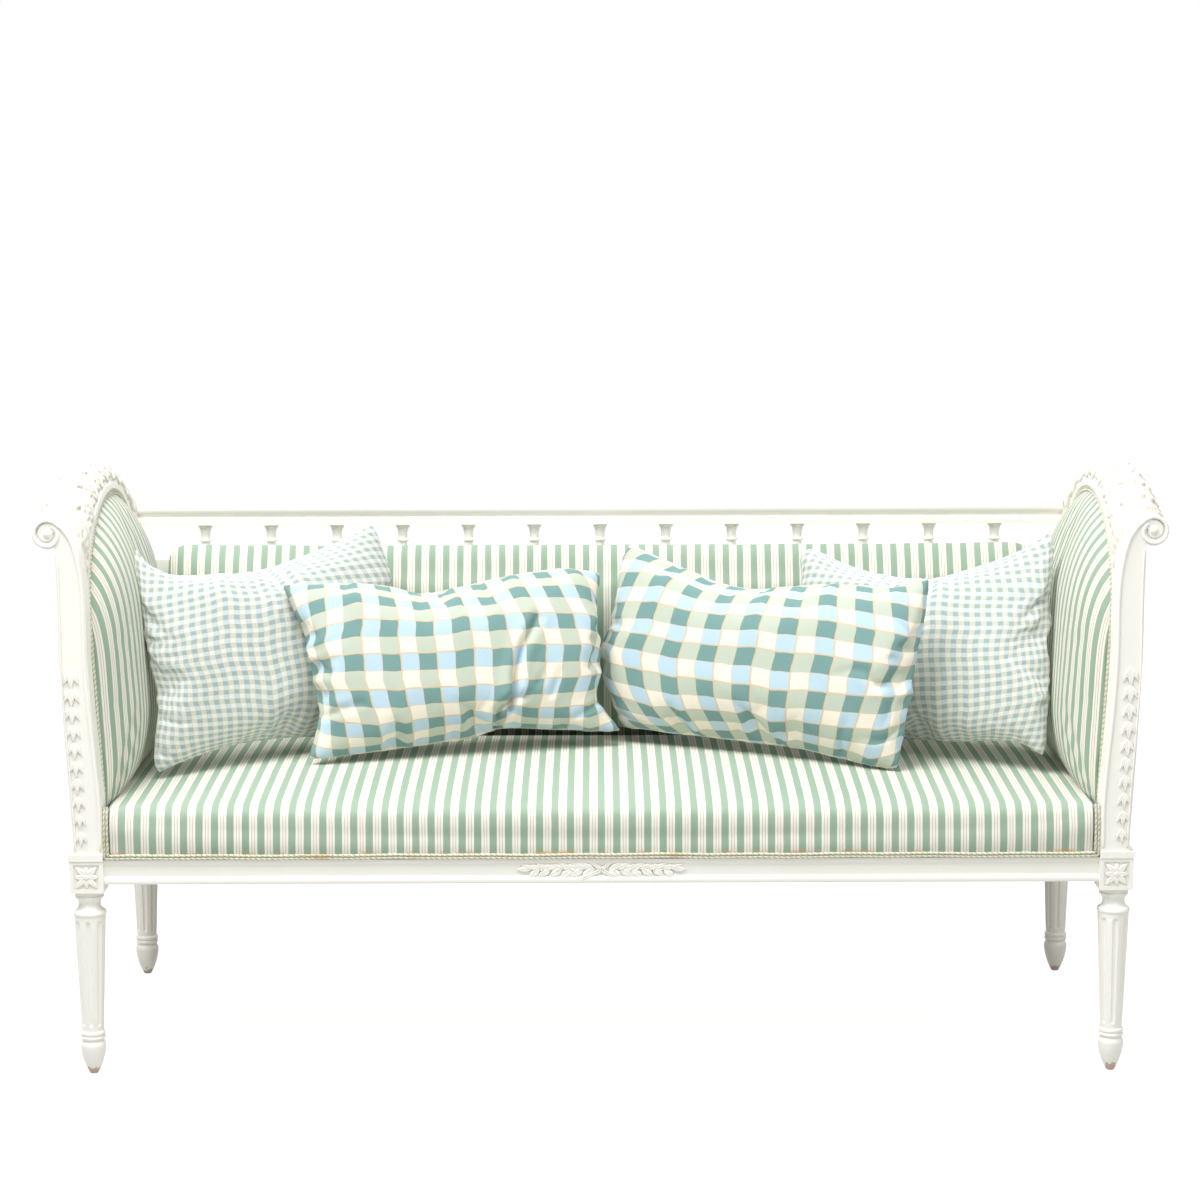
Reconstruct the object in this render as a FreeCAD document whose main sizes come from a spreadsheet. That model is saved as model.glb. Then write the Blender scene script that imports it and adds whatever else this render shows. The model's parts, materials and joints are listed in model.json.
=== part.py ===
import FreeCAD, Part
import Sketcher
import math
import os

# A painted banquette sofa with scrolled-over arms, a spindle back and four loose pillows.
# The frame stands on the floor at z = 0, x runs to the right, the front looks along -y,
# and the origin is under the middle of the sofa.

# Driving dimensions, in millimetres, degrees and counts
SIZES = {
    # Frame plan and leg blocks
    "leg_spacing_x": 1700,
    "leg_spacing_y": 640,
    "block_width": 56,
    "block_height": 65,
    "cap_width": 59,
    "cap_height": 11,
    "panel_width": 42,
    "panel_depth": 2,
    # Turned legs, from the floor up
    "foot_height": 57,
    "foot_tip_radius": 6.5,
    "foot_radius": 21,
    "ankle_height": 17,
    "ankle_radius": 20.5,
    "shaft_height": 197,
    "shaft_bottom_radius": 18,
    "shaft_top_radius": 26,
    "collar_height": 8,
    "collar_radius": 27.5,
    "scotia_height": 21,
    "neck_radius": 18.3,
    "bead_height": 6,
    "bead_radius": 23.5,
    "disc_height": 7,
    "disc_radius": 24.5,
    "flute_count": 8,
    "flute_bottom_radius": 4.2,
    "flute_top_radius": 6,
    "flute_end_gap": 12,
    # Seat rails and their joints
    "rail_set_up": 14,
    "rail_show_height": 41,
    "rail_tack_height": 27,
    "rail_thickness": 30,
    "rail_setback": 3,
    "rail_bead_height": 10,
    "rail_fillet_height": 6,
    "rail_hollow_depth": 4,
    "rebate_depth": 6,
    "tenon_length": 18,
    "tenon_height": 34,
    "tenon_thickness": 12,
    "joint_clearance": 0.3,
    "corner_block_reach": 60,
    "corner_block_height": 46,
    "corner_screw_radius": 2.2,
    "corner_screw_length": 42,
    "corner_screw_spacing": 22,
    # Scrolled arm posts
    "post_depth": 46,
    "post_setback": 2,
    "post_foot_width": 49,
    "post_lean": 18,
    "post_waist_width": 46,
    "post_waist_height": 337,
    "post_head_height": 485,
    "volute_radius": 25,
    "volute_offset": 49,
    "volute_height": 533,
    "volute_eye_radius": 7.5,
    "volute_turns": 0.95,
    "volute_start_angle": 150,
    "groove_width": 3.2,
    "groove_depth": 2.6,
    "post_tenon_radius": 7,
    "post_tenon_length": 28,
    # Arched arm crests
    "crest_rise": 58,
    "crest_draw_in": 22,
    "crest_foot_rise": 30,
    "crest_board_depth": 46,
    "crest_tenon_radius": 7,
    "crest_tenon_length": 15,
    # Arm panels, which lean outwards with the posts
    "panel_base_x": 830,
    "panel_base_z": 460,
    "panel_lean": 3.07,
    "panel_spring": 280,
    "panel_arch_rise": 205,
    "panel_bulge": 40,
    "panel_wall": 12,
    "gimp_width": 10,
    "gimp_thickness": 5,
    "arm_pad_back": 8,
    "arm_rail_height": 38,
    "arm_rail_thickness": 20,
    "outer_cover_lean": 1.4,
    # Upholstery layers
    "cloth_thickness": 2,
    "web_width": 50,
    "web_thickness": 2,
    "web_tack_reach": 20,
    "seat_web_count": 14,
    "seat_web_end_gap": 45,
    "seat_cross_web_count": 4,
    "seat_cross_web_pitch": 140,
    "back_web_count": 11,
    "back_web_end_gap": 40,
    "back_web_tack_gap": 5,
    "back_cross_web_height": 80,
    "back_cross_web_pitch": 110,
    "arm_web_count": 5,
    "arm_web_pitch": 100,
    "arm_cross_web_count": 3,
    "arm_cross_web_height": 110,
    "arm_cross_web_pitch": 120,
    "hessian_thickness": 1.5,
    "dust_cover_reach": 15,
    "seat_side_gap": 3,
    "seat_edge_height": 452,
    "seat_crown": 15,
    "seat_back_gap": 39,
    "seat_edge_roll": 16,
    # Spindle back
    "top_rail_height": 45,
    "top_rail_depth": 36,
    "top_rail_z": 845,
    "cross_rail_height": 40,
    "cross_rail_depth": 32,
    "upper_cross_z": 742,
    "lower_cross_z": 470,
    "stile_width": 24,
    "housing_depth": 8,
    "spindle_count": 13,
    "spindle_pitch": 120.8,
    "spindle_radius": 13,
    "spindle_abacus_height": 5,
    "spindle_shaft_radius": 8,
    "spindle_ring_radius": 11,
    "spindle_pin_radius": 5,
    "spindle_tenon": 8,
    "back_pad_end_gap": 29,
    "back_pad_bottom": 466,
    "back_pad_top": 817,
    "back_pad_thickness": 50,
    "back_pad_corner": 42,
    # Carved ornaments, blocked out
    "rosette_thickness": 2.5,
    "husk_count": 10,
    "husk_pitch": 30,
    "husk_width": 15,
    "husk_thickness": 2.5,
    "spray_length": 135,
    "spray_leaf_length": 34,
    "spray_leaf_width": 10,
    "spray_thickness": 5.5,
    "ribbon_length": 24,
    # Loose pillows
    "large_length": 580,
    "large_height": 335,
    "large_thickness": 125,
    "small_length": 490,
    "small_height": 385,
    "small_thickness": 100,
    "pillow_seam": 8,
    "pillow_draw_in": 14,
    "pillow_rest_gap": 0.3,
    # How far a cutting shape runs past the piece it cuts
    "cutter_overrun": 40,
}

# Where each pillow stands: its kind and side, the gaps from the arm panel and from the back pad
# to its nearer end, its turn, its lean back and its tilt in its own plane
PILLOWS = {
    "pillow_large_left": ("large", "left", 296, 50, 18, 15, 0),
    "pillow_large_right": ("large", "right", 293, 28, -31, 10, -1),
    "pillow_small_left": ("small", "left", 60.5, 28, 39, 8, 0),
    "pillow_small_right": ("small", "right", 60, 25, -37, 8, 0),
}

# Sub-parts that are groups of like pieces, each piece a solid of its own
GROUPS = ("corner_block_screws", "seat_corner_blocks", "back_spindles", "block_rosettes", "post_husks",
          "seat_webbing", "arm_webbing_left", "arm_webbing_right", "back_webbing")

doc = FreeCAD.newDocument("banquette_sofa")
sheet = doc.addObject("Spreadsheet::Sheet", "Sizes")
for row, (alias, amount) in enumerate(SIZES.items(), 1):
    sheet.set("A%d" % row, alias)
    sheet.set("B%d" % row, str(amount))
    sheet.setAlias("B%d" % row, alias)
doc.recompute()


class Size:
    """A number together with the spreadsheet formula that gives it."""

    def __init__(self, value, formula):
        self.value = float(value)
        self.formula = formula

    def join(self, other, sign, value):
        return Size(value, "(%s %s %s)" % (self.formula, sign, formula_of(other)))

    def __add__(self, other):
        return self.join(other, "+", self.value + number(other))

    def __sub__(self, other):
        return self.join(other, "-", self.value - number(other))

    def __mul__(self, other):
        return self.join(other, "*", self.value * number(other))

    def __truediv__(self, other):
        return self.join(other, "/", self.value / number(other))

    def __neg__(self):
        return self * -1

    __rmul__ = __mul__
    __radd__ = __add__


def number_of(alias):
    return float(sheet.get(alias))


def number(amount):
    return amount.value if isinstance(amount, Size) else float(amount)


def formula_of(amount):
    return amount.formula if isinstance(amount, Size) else repr(float(amount))


class Sizes:
    """The driving dimensions by name."""


for alias in SIZES:
    setattr(Sizes, alias, Size(sheet.get(alias), "Sizes." + alias))
D = Sizes
SIDES = {"left": -1, "right": 1}
ENDS = {"front": -1, "rear": 1}

# Levels and planes that several pieces share
HALF_X = D.leg_spacing_x / 2
HALF_Y = D.leg_spacing_y / 2
HALF_BLOCK = D.block_width / 2
ANKLE_Z = D.foot_height
SHAFT_Z = ANKLE_Z + D.ankle_height
COLLAR_Z = SHAFT_Z + D.shaft_height
SCOTIA_Z = COLLAR_Z + D.collar_height
BEAD_Z = SCOTIA_Z + D.scotia_height
DISC_Z = BEAD_Z + D.bead_height
BLOCK_Z = DISC_Z + D.disc_height
BLOCK_TOP = BLOCK_Z + D.block_height
RAIL_Z = BLOCK_Z + D.rail_set_up
RAIL_SHOW_TOP = RAIL_Z + D.rail_show_height
RAIL_TOP = RAIL_SHOW_TOP + D.rail_tack_height
RAIL_FACE_Y = HALF_Y + HALF_BLOCK - D.rail_setback
RAIL_BACK_Y = RAIL_FACE_Y - D.rail_thickness
RAIL_FACE_X = HALF_X + HALF_BLOCK - D.rail_setback
RAIL_BACK_X = RAIL_FACE_X - D.rail_thickness
POST_FACE_Y = HALF_Y + HALF_BLOCK - D.post_setback
POST_BACK_Y = POST_FACE_Y - D.post_depth
POST_INNER_X = HALF_X - HALF_BLOCK
VOLUTE_X = HALF_X + D.volute_offset
VOLUTE_Z = BLOCK_TOP + D.volute_height
UPPER_CROSS_TOP = D.upper_cross_z + D.cross_rail_height
BACK_FRAME_BACK = RAIL_FACE_Y - D.rebate_depth
BACK_FRAME_Y = BACK_FRAME_BACK - D.cross_rail_depth
WEB_TOP = RAIL_TOP + D.web_thickness * 2
SEAT_BOTTOM = WEB_TOP + D.hessian_thickness
ARM_RAIL_Z = D.panel_base_z - 2
LEAN_RISE = math.tan(math.radians(number_of("panel_lean")))
ARM_RAIL_X = (D.panel_base_x + D.arm_pad_back + D.web_thickness * 2 + D.joint_clearance
              + D.arm_rail_height * LEAN_RISE)
PANEL_HALF = POST_BACK_Y
BACK_PAD_HALF = POST_INNER_X - D.back_pad_end_gap
SEAT_HALF = POST_INNER_X - D.seat_side_gap
SEAT_FRONT_Y = -(RAIL_FACE_Y - D.rebate_depth)
SEAT_BACK_Y = BACK_FRAME_BACK - D.seat_back_gap

PARTS = {}


# Helpers for the document

def keep(label, thing):
    """Register a finished sub-part under its label."""
    thing.Label = label
    PARTS[label] = thing
    return thing


def bind(thing, prop, amount):
    """Tie a property to the spreadsheet formula of a size."""
    if isinstance(amount, Size):
        thing.setExpression(prop, amount.formula)
    else:
        setattr(thing, prop, amount)


def place(thing, x, y, z):
    """Tie an object's position to the sheet."""
    for axis, amount in (("x", x), ("y", y), ("z", z)):
        thing.setExpression("Placement.Base." + axis, formula_of(amount))


def span(side, low, high):
    """A run along one axis, turned over for the other side."""
    return (low, high) if side > 0 else (-high, -low)


def slab(label, x, y, z):
    """A rectangular piece between two limits on each axis."""
    piece = doc.addObject("Part::Box", label)
    piece.Label = label
    bind(piece, "Length", x[1] - x[0])
    bind(piece, "Width", y[1] - y[0])
    bind(piece, "Height", z[1] - z[0])
    place(piece, x[0], y[0], z[0])
    return piece


def joined(label, pieces):
    fusion = doc.addObject("Part::MultiFuse", label)
    fusion.Label = label
    fusion.Shapes = pieces
    return fusion


def cut(label, base, tools):
    """A piece with its holes, mortises or recesses taken out."""
    tool = tools[0] if len(tools) == 1 else joined(label + "_cutters", tools)
    result = doc.addObject("Part::Cut", label + "_cut")
    result.Base = base
    result.Tool = tool
    return result


def solid_feature(label, shape, placement=None):
    """A piece whose shape is worked out with Part's own functions."""
    piece = doc.addObject("Part::Feature", label)
    piece.Shape = shape
    if placement is not None:
        piece.Placement = placement
    piece.Label = label
    return piece


def box_between(x, y, z):
    """A plain box shape between two limits on each axis."""
    corner = FreeCAD.Vector(x[0], y[0], z[0])
    return Part.makeBox(x[1] - x[0], y[1] - y[0], z[1] - z[0], corner)


def evenly(count, pitch):
    """Places a pitch apart, as many to either side of nought."""
    total = int(number(count))
    return [number(pitch) * (index - (total - 1) / 2) for index in range(total)]


def stretches(points):
    """Each stretch of a closed outline: its start, the point that its arc passes or None, and its end."""
    corners = [index for index, point in enumerate(points) if point[-1] != "via"]
    found = []
    for index, following in zip(corners, corners[1:] + corners[:1]):
        passed = points[(index + 1) % len(points)]
        found.append((points[index], passed if passed[-1] == "via" else None, points[following]))
    return found


def flat_point(point):
    return FreeCAD.Vector(number(point[0]), number(point[1]), 0)


def plane(body, role):
    return [item for item in body.Origin.OriginFeatures if item.Role == role][0]


def sketch(body, name, role, outline, offset=None):
    """A constrained closed outline: corners (x, y), and (x, y, "via") between two for an arc."""
    drawing = body.newObject("Sketcher::SketchObject", name)
    drawing.AttachmentSupport = [(plane(body, role), "")]
    drawing.MapMode = "FlatFace"
    if offset is not None:
        drawing.setExpression("AttachmentOffset.Base.z", formula_of(offset))
    runs = stretches(outline)
    edges = []
    for start, passed, end in runs:
        if passed:
            edges.append(Part.Arc(flat_point(start), flat_point(passed), flat_point(end)))
        else:
            edges.append(Part.LineSegment(flat_point(start), flat_point(end)))
    ids = drawing.addGeometry(edges, False)
    constraints = []
    formulas = []

    def add(formula, *words):
        constraints.append(Sketcher.Constraint(*words))
        formulas.append(formula)

    def fix(item, spot, point):
        for kind, axis, amount in (("DistanceX", -2, point[0]), ("DistanceY", -1, point[1])):
            if abs(number(amount)) < 1e-9:
                add(None, "PointOnObject", item, spot, axis)
            else:
                add(formula_of(amount), kind, -1, 1, item, spot, number(amount))

    def near(item, point):
        gaps = [(drawing.getPoint(item, spot) - flat_point(point)).Length for spot in (1, 2)]
        return 1 if gaps[0] < gaps[1] else 2

    for item, next_item, (start, passed, end) in zip(ids, ids[1:] + ids[:1], runs):
        add(None, "Coincident", item, near(item, end), next_item, near(next_item, end))
        fix(item, near(item, start), start)
        if passed:
            mark = drawing.addGeometry(Part.Point(flat_point(passed)), True)
            fix(mark, 1, passed)
            add(None, "PointOnObject", mark, 1, item)
    drawing.addConstraint(constraints)
    for index, formula in enumerate(formulas):
        if formula:
            drawing.setExpression("Constraints[%d]" % index, formula)
    return drawing


def profile_pad(label, role, outline, length, name="profile"):
    """An outline drawn on an origin plane and padded evenly to both sides of it."""
    body = doc.addObject("PartDesign::Body", label)
    body.Label = label
    pad = body.newObject("PartDesign::Pad", name + "_pad")
    pad.Profile = (sketch(body, name, role, outline), [""])
    pad.SideType = "Symmetric"
    bind(pad, "Length", length)
    return body


def turned(label, outline):
    """A turning about the upright axis, drawn as radius against height."""
    body = doc.addObject("PartDesign::Body", label)
    body.Label = label
    half = sketch(body, "turning", "XZ_Plane", outline)
    revolution = body.newObject("PartDesign::Revolution", "turned_form")
    revolution.Profile = (half, [""])
    revolution.ReferenceAxis = (half, ["V_Axis"])
    revolution.Angle = 360
    return body


def peg(label, radius, length, direction, x, y, z):
    """A round tenon, dowel, hole or screw shank."""
    piece = doc.addObject("Part::Cylinder", label)
    piece.Label = label
    bind(piece, "Radius", radius)
    bind(piece, "Height", length)
    place(piece, x, y, z)
    turn = FreeCAD.Rotation(FreeCAD.Vector(0, 0, 1), FreeCAD.Vector(*direction))
    piece.Placement.Rotation = turn
    return piece


def path_of(points):
    """A closed wire of lines, and of arcs wherever a via point stands between two corners."""
    edges = []
    for start, passed, end in stretches(points):
        if passed:
            arc = Part.Arc(FreeCAD.Vector(*start), FreeCAD.Vector(*passed[:3]), FreeCAD.Vector(*end))
            edges.append(arc.toShape())
        else:
            edges.append(Part.makeLine(FreeCAD.Vector(*start), FreeCAD.Vector(*end)))
    return Part.Wire(edges)


# Turned and fluted legs with their square blocks

def leg_outline():
    groove = D.ankle_radius - 3
    half_ankle = D.ankle_height / 2
    return [
        (0, 0),
        (D.foot_tip_radius, 0),
        (D.foot_radius * 0.82, D.foot_height * 0.44, "via"),
        (D.foot_radius, D.foot_height * 0.82),
        (D.foot_radius * 0.985, D.foot_height * 0.9, "via"),
        (groove, D.foot_height),
        (groove, ANKLE_Z + 1.5),
        (D.ankle_radius, ANKLE_Z + half_ankle / 2 + 0.75, "via"),
        (groove + 1, ANKLE_Z + half_ankle),
        (D.ankle_radius, ANKLE_Z + half_ankle * 1.5, "via"),
        (D.shaft_bottom_radius, SHAFT_Z),
        (D.shaft_top_radius, COLLAR_Z),
        (D.collar_radius, COLLAR_Z + D.collar_height / 2, "via"),
        (D.shaft_top_radius, SCOTIA_Z),
        (D.neck_radius, SCOTIA_Z + D.scotia_height * 0.55, "via"),
        (D.bead_radius - 1.5, BEAD_Z),
        (D.bead_radius + 0.5, BEAD_Z + D.bead_height / 2, "via"),
        (D.bead_radius - 1, DISC_Z),
        (D.disc_radius, DISC_Z),
        (D.disc_radius, BLOCK_Z),
        (0, BLOCK_Z),
    ]


def flute_cutters(label, sx, sy):
    """Tapered round cutters with round ends, evenly spaced round the shaft, one of them facing the front."""
    taper = D.shaft_top_radius - D.shaft_bottom_radius
    share = D.flute_end_gap / D.shaft_height
    low_z = SHAFT_Z + D.flute_end_gap
    high_z = COLLAR_Z - D.flute_end_gap
    low_reach = D.shaft_bottom_radius + taper * share + D.flute_bottom_radius * 0.45
    high_reach = D.shaft_top_radius - taper * share + D.flute_top_radius * 0.45
    run = high_z - low_z
    tilt = "atan(%s / %s)" % ((high_reach - low_reach).formula, run.formula)
    cutters = []
    for index in range(int(number(D.flute_count))):
        angle = math.radians(90 + 360 * index / number(D.flute_count))
        across, along = math.cos(angle), math.sin(angle)
        cone = doc.addObject("Part::Cone", "%s_flute_%d" % (label, index))
        bind(cone, "Radius1", D.flute_bottom_radius)
        bind(cone, "Radius2", D.flute_top_radius)
        bind(cone, "Height", run)
        place(cone, sx * HALF_X + low_reach * across, sy * HALF_Y + low_reach * along, low_z)
        cone.Placement.Rotation = FreeCAD.Rotation(FreeCAD.Vector(-along, across, 0), 1)
        cone.setExpression("Placement.Rotation.Angle", tilt)
        cutters.append(cone)
        for name, radius, reach, height in (("foot", D.flute_bottom_radius, low_reach, low_z),
                                            ("head", D.flute_top_radius, high_reach, high_z)):
            end = doc.addObject("Part::Sphere", "%s_flute_%s_%d" % (label, name, index))
            bind(end, "Radius", radius)
            place(end, sx * HALF_X + reach * across, sy * HALF_Y + reach * along, height)
            cutters.append(end)
    return cutters


def make_leg(end, side):
    label = "%s_leg_%s" % (end, side)
    sx, sy = SIDES[side], ENDS[end]
    body = turned(label + "_turning", leg_outline())
    place(body, sx * HALF_X, sy * HALF_Y, 0)
    # The turning's seam lies between two flutes
    body.Placement.Rotation = FreeCAD.Rotation(FreeCAD.Vector(0, 0, 1), 180 / number(D.flute_count))
    shaft = cut(label + "_shaft", body, flute_cutters(label, sx, sy))
    near_x, far_x = sx * HALF_X - HALF_BLOCK, sx * HALF_X + HALF_BLOCK
    near_y, far_y = sy * HALF_Y - HALF_BLOCK, sy * HALF_Y + HALF_BLOCK
    square = slab(label + "_block", (near_x, far_x), (near_y, far_y), (BLOCK_Z, BLOCK_TOP))
    inner_x = HALF_X - HALF_BLOCK
    inner_y = HALF_Y - HALF_BLOCK
    # The cap moulding stands proud on the outer faces and is flush where the rails butt
    proud = (D.cap_width - D.block_width) / 2
    cap = slab(label + "_cap", span(sx, inner_x, HALF_X + HALF_BLOCK + proud),
               span(sy, inner_y, HALF_Y + HALF_BLOCK + proud), (BLOCK_TOP - D.cap_height, BLOCK_TOP))
    head = joined(label + "_head", [square, cap])
    slack = D.joint_clearance
    half_tenon = D.tenon_thickness / 2
    mortise_z = (RAIL_Z + 3 - slack, RAIL_Z + 3 + D.tenon_height + slack)
    rail_y = RAIL_FACE_Y - D.rail_thickness / 2
    rail_x = RAIL_FACE_X - D.rail_thickness / 2
    tools = [
        slab(label + "_rail_mortise", span(sx, inner_x - 5, inner_x + D.tenon_length + slack),
             span(sy, rail_y - half_tenon - slack, rail_y + half_tenon + slack), mortise_z),
        slab(label + "_side_mortise", span(sx, rail_x - half_tenon - slack, rail_x + half_tenon + slack),
             span(sy, inner_y - 5, inner_y + D.tenon_length + slack), mortise_z),
        peg(label + "_post_hole", D.post_tenon_radius + slack, D.post_tenon_length + 6, (0, 0, 1),
            sx * HALF_X, sy * HALF_Y, BLOCK_TOP - D.post_tenon_length - slack),
    ]
    if end == "front":
        border = (D.block_width - D.panel_width) / 2
        panel_z = BLOCK_Z + 6
        tools.append(slab(label + "_sunk_panel", (near_x + border, far_x - border),
                          (near_y - 5, near_y + D.panel_depth),
                          (panel_z, panel_z + D.panel_width)))
    for index in range(2):
        tools.append(corner_screw_hole(label, sx, sy, index))
    keep(label, joined(label, [shaft, cut(label + "_head", head, tools)]))


# Screws that hold the corner blocks, driven square to each block's long face

def screw_place(sx, sy, index):
    """The middle of a screw's head seat on the long face, and the way the screw points."""
    half_reach = D.corner_block_reach / 2
    low = RAIL_Z + D.corner_block_height / 2 + 6
    x = sx * (HALF_X - HALF_BLOCK - half_reach + (RAIL_BACK_X - HALF_X + HALF_BLOCK) / 2)
    y = sy * (RAIL_BACK_Y - half_reach + (HALF_Y - HALF_BLOCK - RAIL_BACK_Y) / 2)
    z = low + (index - 0.5) * D.corner_screw_spacing
    return x, y, z, (sx, sy, 0)


def corner_screw_hole(label, sx, sy, index):
    x, y, z, way = screw_place(sx, sy, index)
    return peg("%s_screw_hole_%d" % (label, index), D.corner_screw_radius + 0.1,
               D.corner_screw_length + 1, way, x, y, z)


# Seat rails: moulded below, rebated above for the cloth

def rail_outline(facing):
    """Section across a rail: depth to the outside is facing, height is up."""
    front = D.rail_thickness / 2
    hollow = front - D.rail_hollow_depth
    bead_top = RAIL_Z + D.rail_bead_height
    fillet = RAIL_SHOW_TOP - D.rail_fillet_height
    return [
        (facing * -front, RAIL_Z),
        (facing * (front - 1), RAIL_Z),
        (facing * front, RAIL_Z + D.rail_bead_height / 2, "via"),
        (facing * (front - 1), bead_top),
        (facing * hollow, bead_top + 3),
        (facing * hollow, fillet - 8),
        (facing * (hollow + 1), fillet - 3, "via"),
        (facing * (front - 1), fillet),
        (facing * front, RAIL_SHOW_TOP),
        (facing * (front - D.rebate_depth), RAIL_SHOW_TOP),
        (facing * (front - D.rebate_depth), RAIL_TOP),
        (facing * -front, RAIL_TOP),
    ]


def rail_form(facing, reach):
    """A plain stretch of a cross rail, to either side of the middle."""
    middle = facing * number(RAIL_FACE_Y - D.rail_thickness / 2)
    corners = []
    for point in rail_outline(facing):
        corners.append((-reach, middle + number(point[0]), number(point[1])) + tuple(point[2:]))
    return Part.Face(path_of(corners)).extrude(FreeCAD.Vector(2 * reach, 0, 0))


def make_cross_seat_rail(end):
    label = end + "_seat_rail"
    facing = ENDS[end]
    length = D.leg_spacing_x - D.block_width
    middle = RAIL_FACE_Y - D.rail_thickness / 2
    body = profile_pad(label + "_moulding", "YZ_Plane", rail_outline(facing), length)
    place(body, 0, facing * middle, 0)
    half_tenon = D.tenon_thickness / 2
    reach = length / 2 + D.tenon_length
    tenon = slab(label + "_tenons", (-reach, reach),
                 (facing * middle - half_tenon, facing * middle + half_tenon),
                 (RAIL_Z + 3, RAIL_Z + 3 + D.tenon_height))
    keep(label, joined(label, [body, tenon]))


def make_side_seat_rail(side):
    label = "side_seat_rail_" + side
    facing = SIDES[side]
    length = D.leg_spacing_y - D.block_width
    middle = RAIL_FACE_X - D.rail_thickness / 2
    # On the XZ plane a pad runs along y, so the same section serves
    body = profile_pad(label + "_moulding", "XZ_Plane", rail_outline(facing), length)
    place(body, facing * middle, 0, 0)
    half_tenon = D.tenon_thickness / 2
    reach = length / 2 + D.tenon_length
    tenon = slab(label + "_tenons", (facing * middle - half_tenon, facing * middle + half_tenon),
                 (-reach, reach), (RAIL_Z + 3, RAIL_Z + 3 + D.tenon_height))
    keep(label, joined(label, [body, tenon]))


def make_corner_blocks():
    """Braces inside the four corners, notched round the legs, with two screws each."""
    blocks = []
    screws = []
    inner_x = number(HALF_X - HALF_BLOCK)
    inner_y = number(HALF_Y - HALF_BLOCK)
    back_x = number(RAIL_BACK_X)
    back_y = number(RAIL_BACK_Y)
    reach = number(D.corner_block_reach)
    bottom = number(RAIL_Z) + 6
    height = number(D.corner_block_height)
    radius = number(D.corner_screw_radius)
    for sx in SIDES.values():
        for sy in ENDS.values():
            corners = [(inner_x - reach, back_y), (inner_x, back_y), (inner_x, inner_y),
                       (back_x, inner_y), (back_x, inner_y - reach)]
            wire = path_of([(sx * x, sy * y, bottom) for x, y in corners])
            block = Part.Face(wire).extrude(FreeCAD.Vector(0, 0, height))
            for index in range(2):
                x, y, z, way = screw_place(sx, sy, index)
                start = FreeCAD.Vector(number(x), number(y), number(z))
                way = FreeCAD.Vector(*way).normalize()
                seat = seat_on_brace(start, way, block)
                shank = Part.makeCylinder(radius, number(D.corner_screw_length), seat, way)
                head = Part.makeCylinder(radius * 2, 3, seat - way * 3, way)
                screws.append(shank.fuse(head).removeSplitter())
                block = block.cut(Part.makeCylinder(radius + 0.1, 200, seat - way * 50, way))
            blocks.append(block)
    keep("seat_corner_blocks", solid_feature("seat_corner_blocks", Part.makeCompound(blocks)))
    keep("corner_block_screws", solid_feature("corner_block_screws", Part.makeCompound(screws)))


def seat_on_brace(start, way, block):
    """Where the screw's line meets the brace's long face."""
    line = Part.makeLine(start - way * 60, start + way * 60)
    hits = line.common(block).Vertexes
    return min((v.Point for v in hits), key=lambda p: (p - start).dot(way))


# Arm posts with a rolled-over volute at the head

def post_outline(sx):
    """Front view of a post, from its foot on the block up round the volute and back down."""
    inner = POST_INNER_X
    waist_z = BLOCK_TOP + D.post_waist_height
    head_z = BLOCK_TOP + D.post_head_height
    neck_z = (waist_z + head_z) / 2
    waist = inner + D.post_lean
    outer = waist + D.post_waist_width
    r = D.volute_radius
    points = [
        (inner, BLOCK_TOP),
        (inner, BLOCK_TOP + 75),
        (inner + D.post_lean * 0.6, BLOCK_TOP + 205, "via"),
        (waist, waist_z),
        (waist, neck_z),
        (waist + 3, neck_z + (head_z - neck_z) * 0.6, "via"),
        (waist + 8, head_z + 7),
        (waist + 20.5, head_z + 40, "via"),
        (VOLUTE_X, VOLUTE_Z + r),
        (VOLUTE_X + r, VOLUTE_Z, "via"),
        (VOLUTE_X, VOLUTE_Z - r),
        (VOLUTE_X - r * 0.23, VOLUTE_Z - r * 0.97, "via"),
        (outer + 2, VOLUTE_Z - r * 0.9),
        (outer, neck_z),
        (outer, waist_z),
        (outer - D.post_lean * 0.33, BLOCK_TOP + 190, "via"),
        (inner + D.post_foot_width, BLOCK_TOP + 30),
        (inner + D.post_foot_width, BLOCK_TOP),
    ]
    return [(sx * point[0],) + tuple(point[1:]) for point in points]


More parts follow.
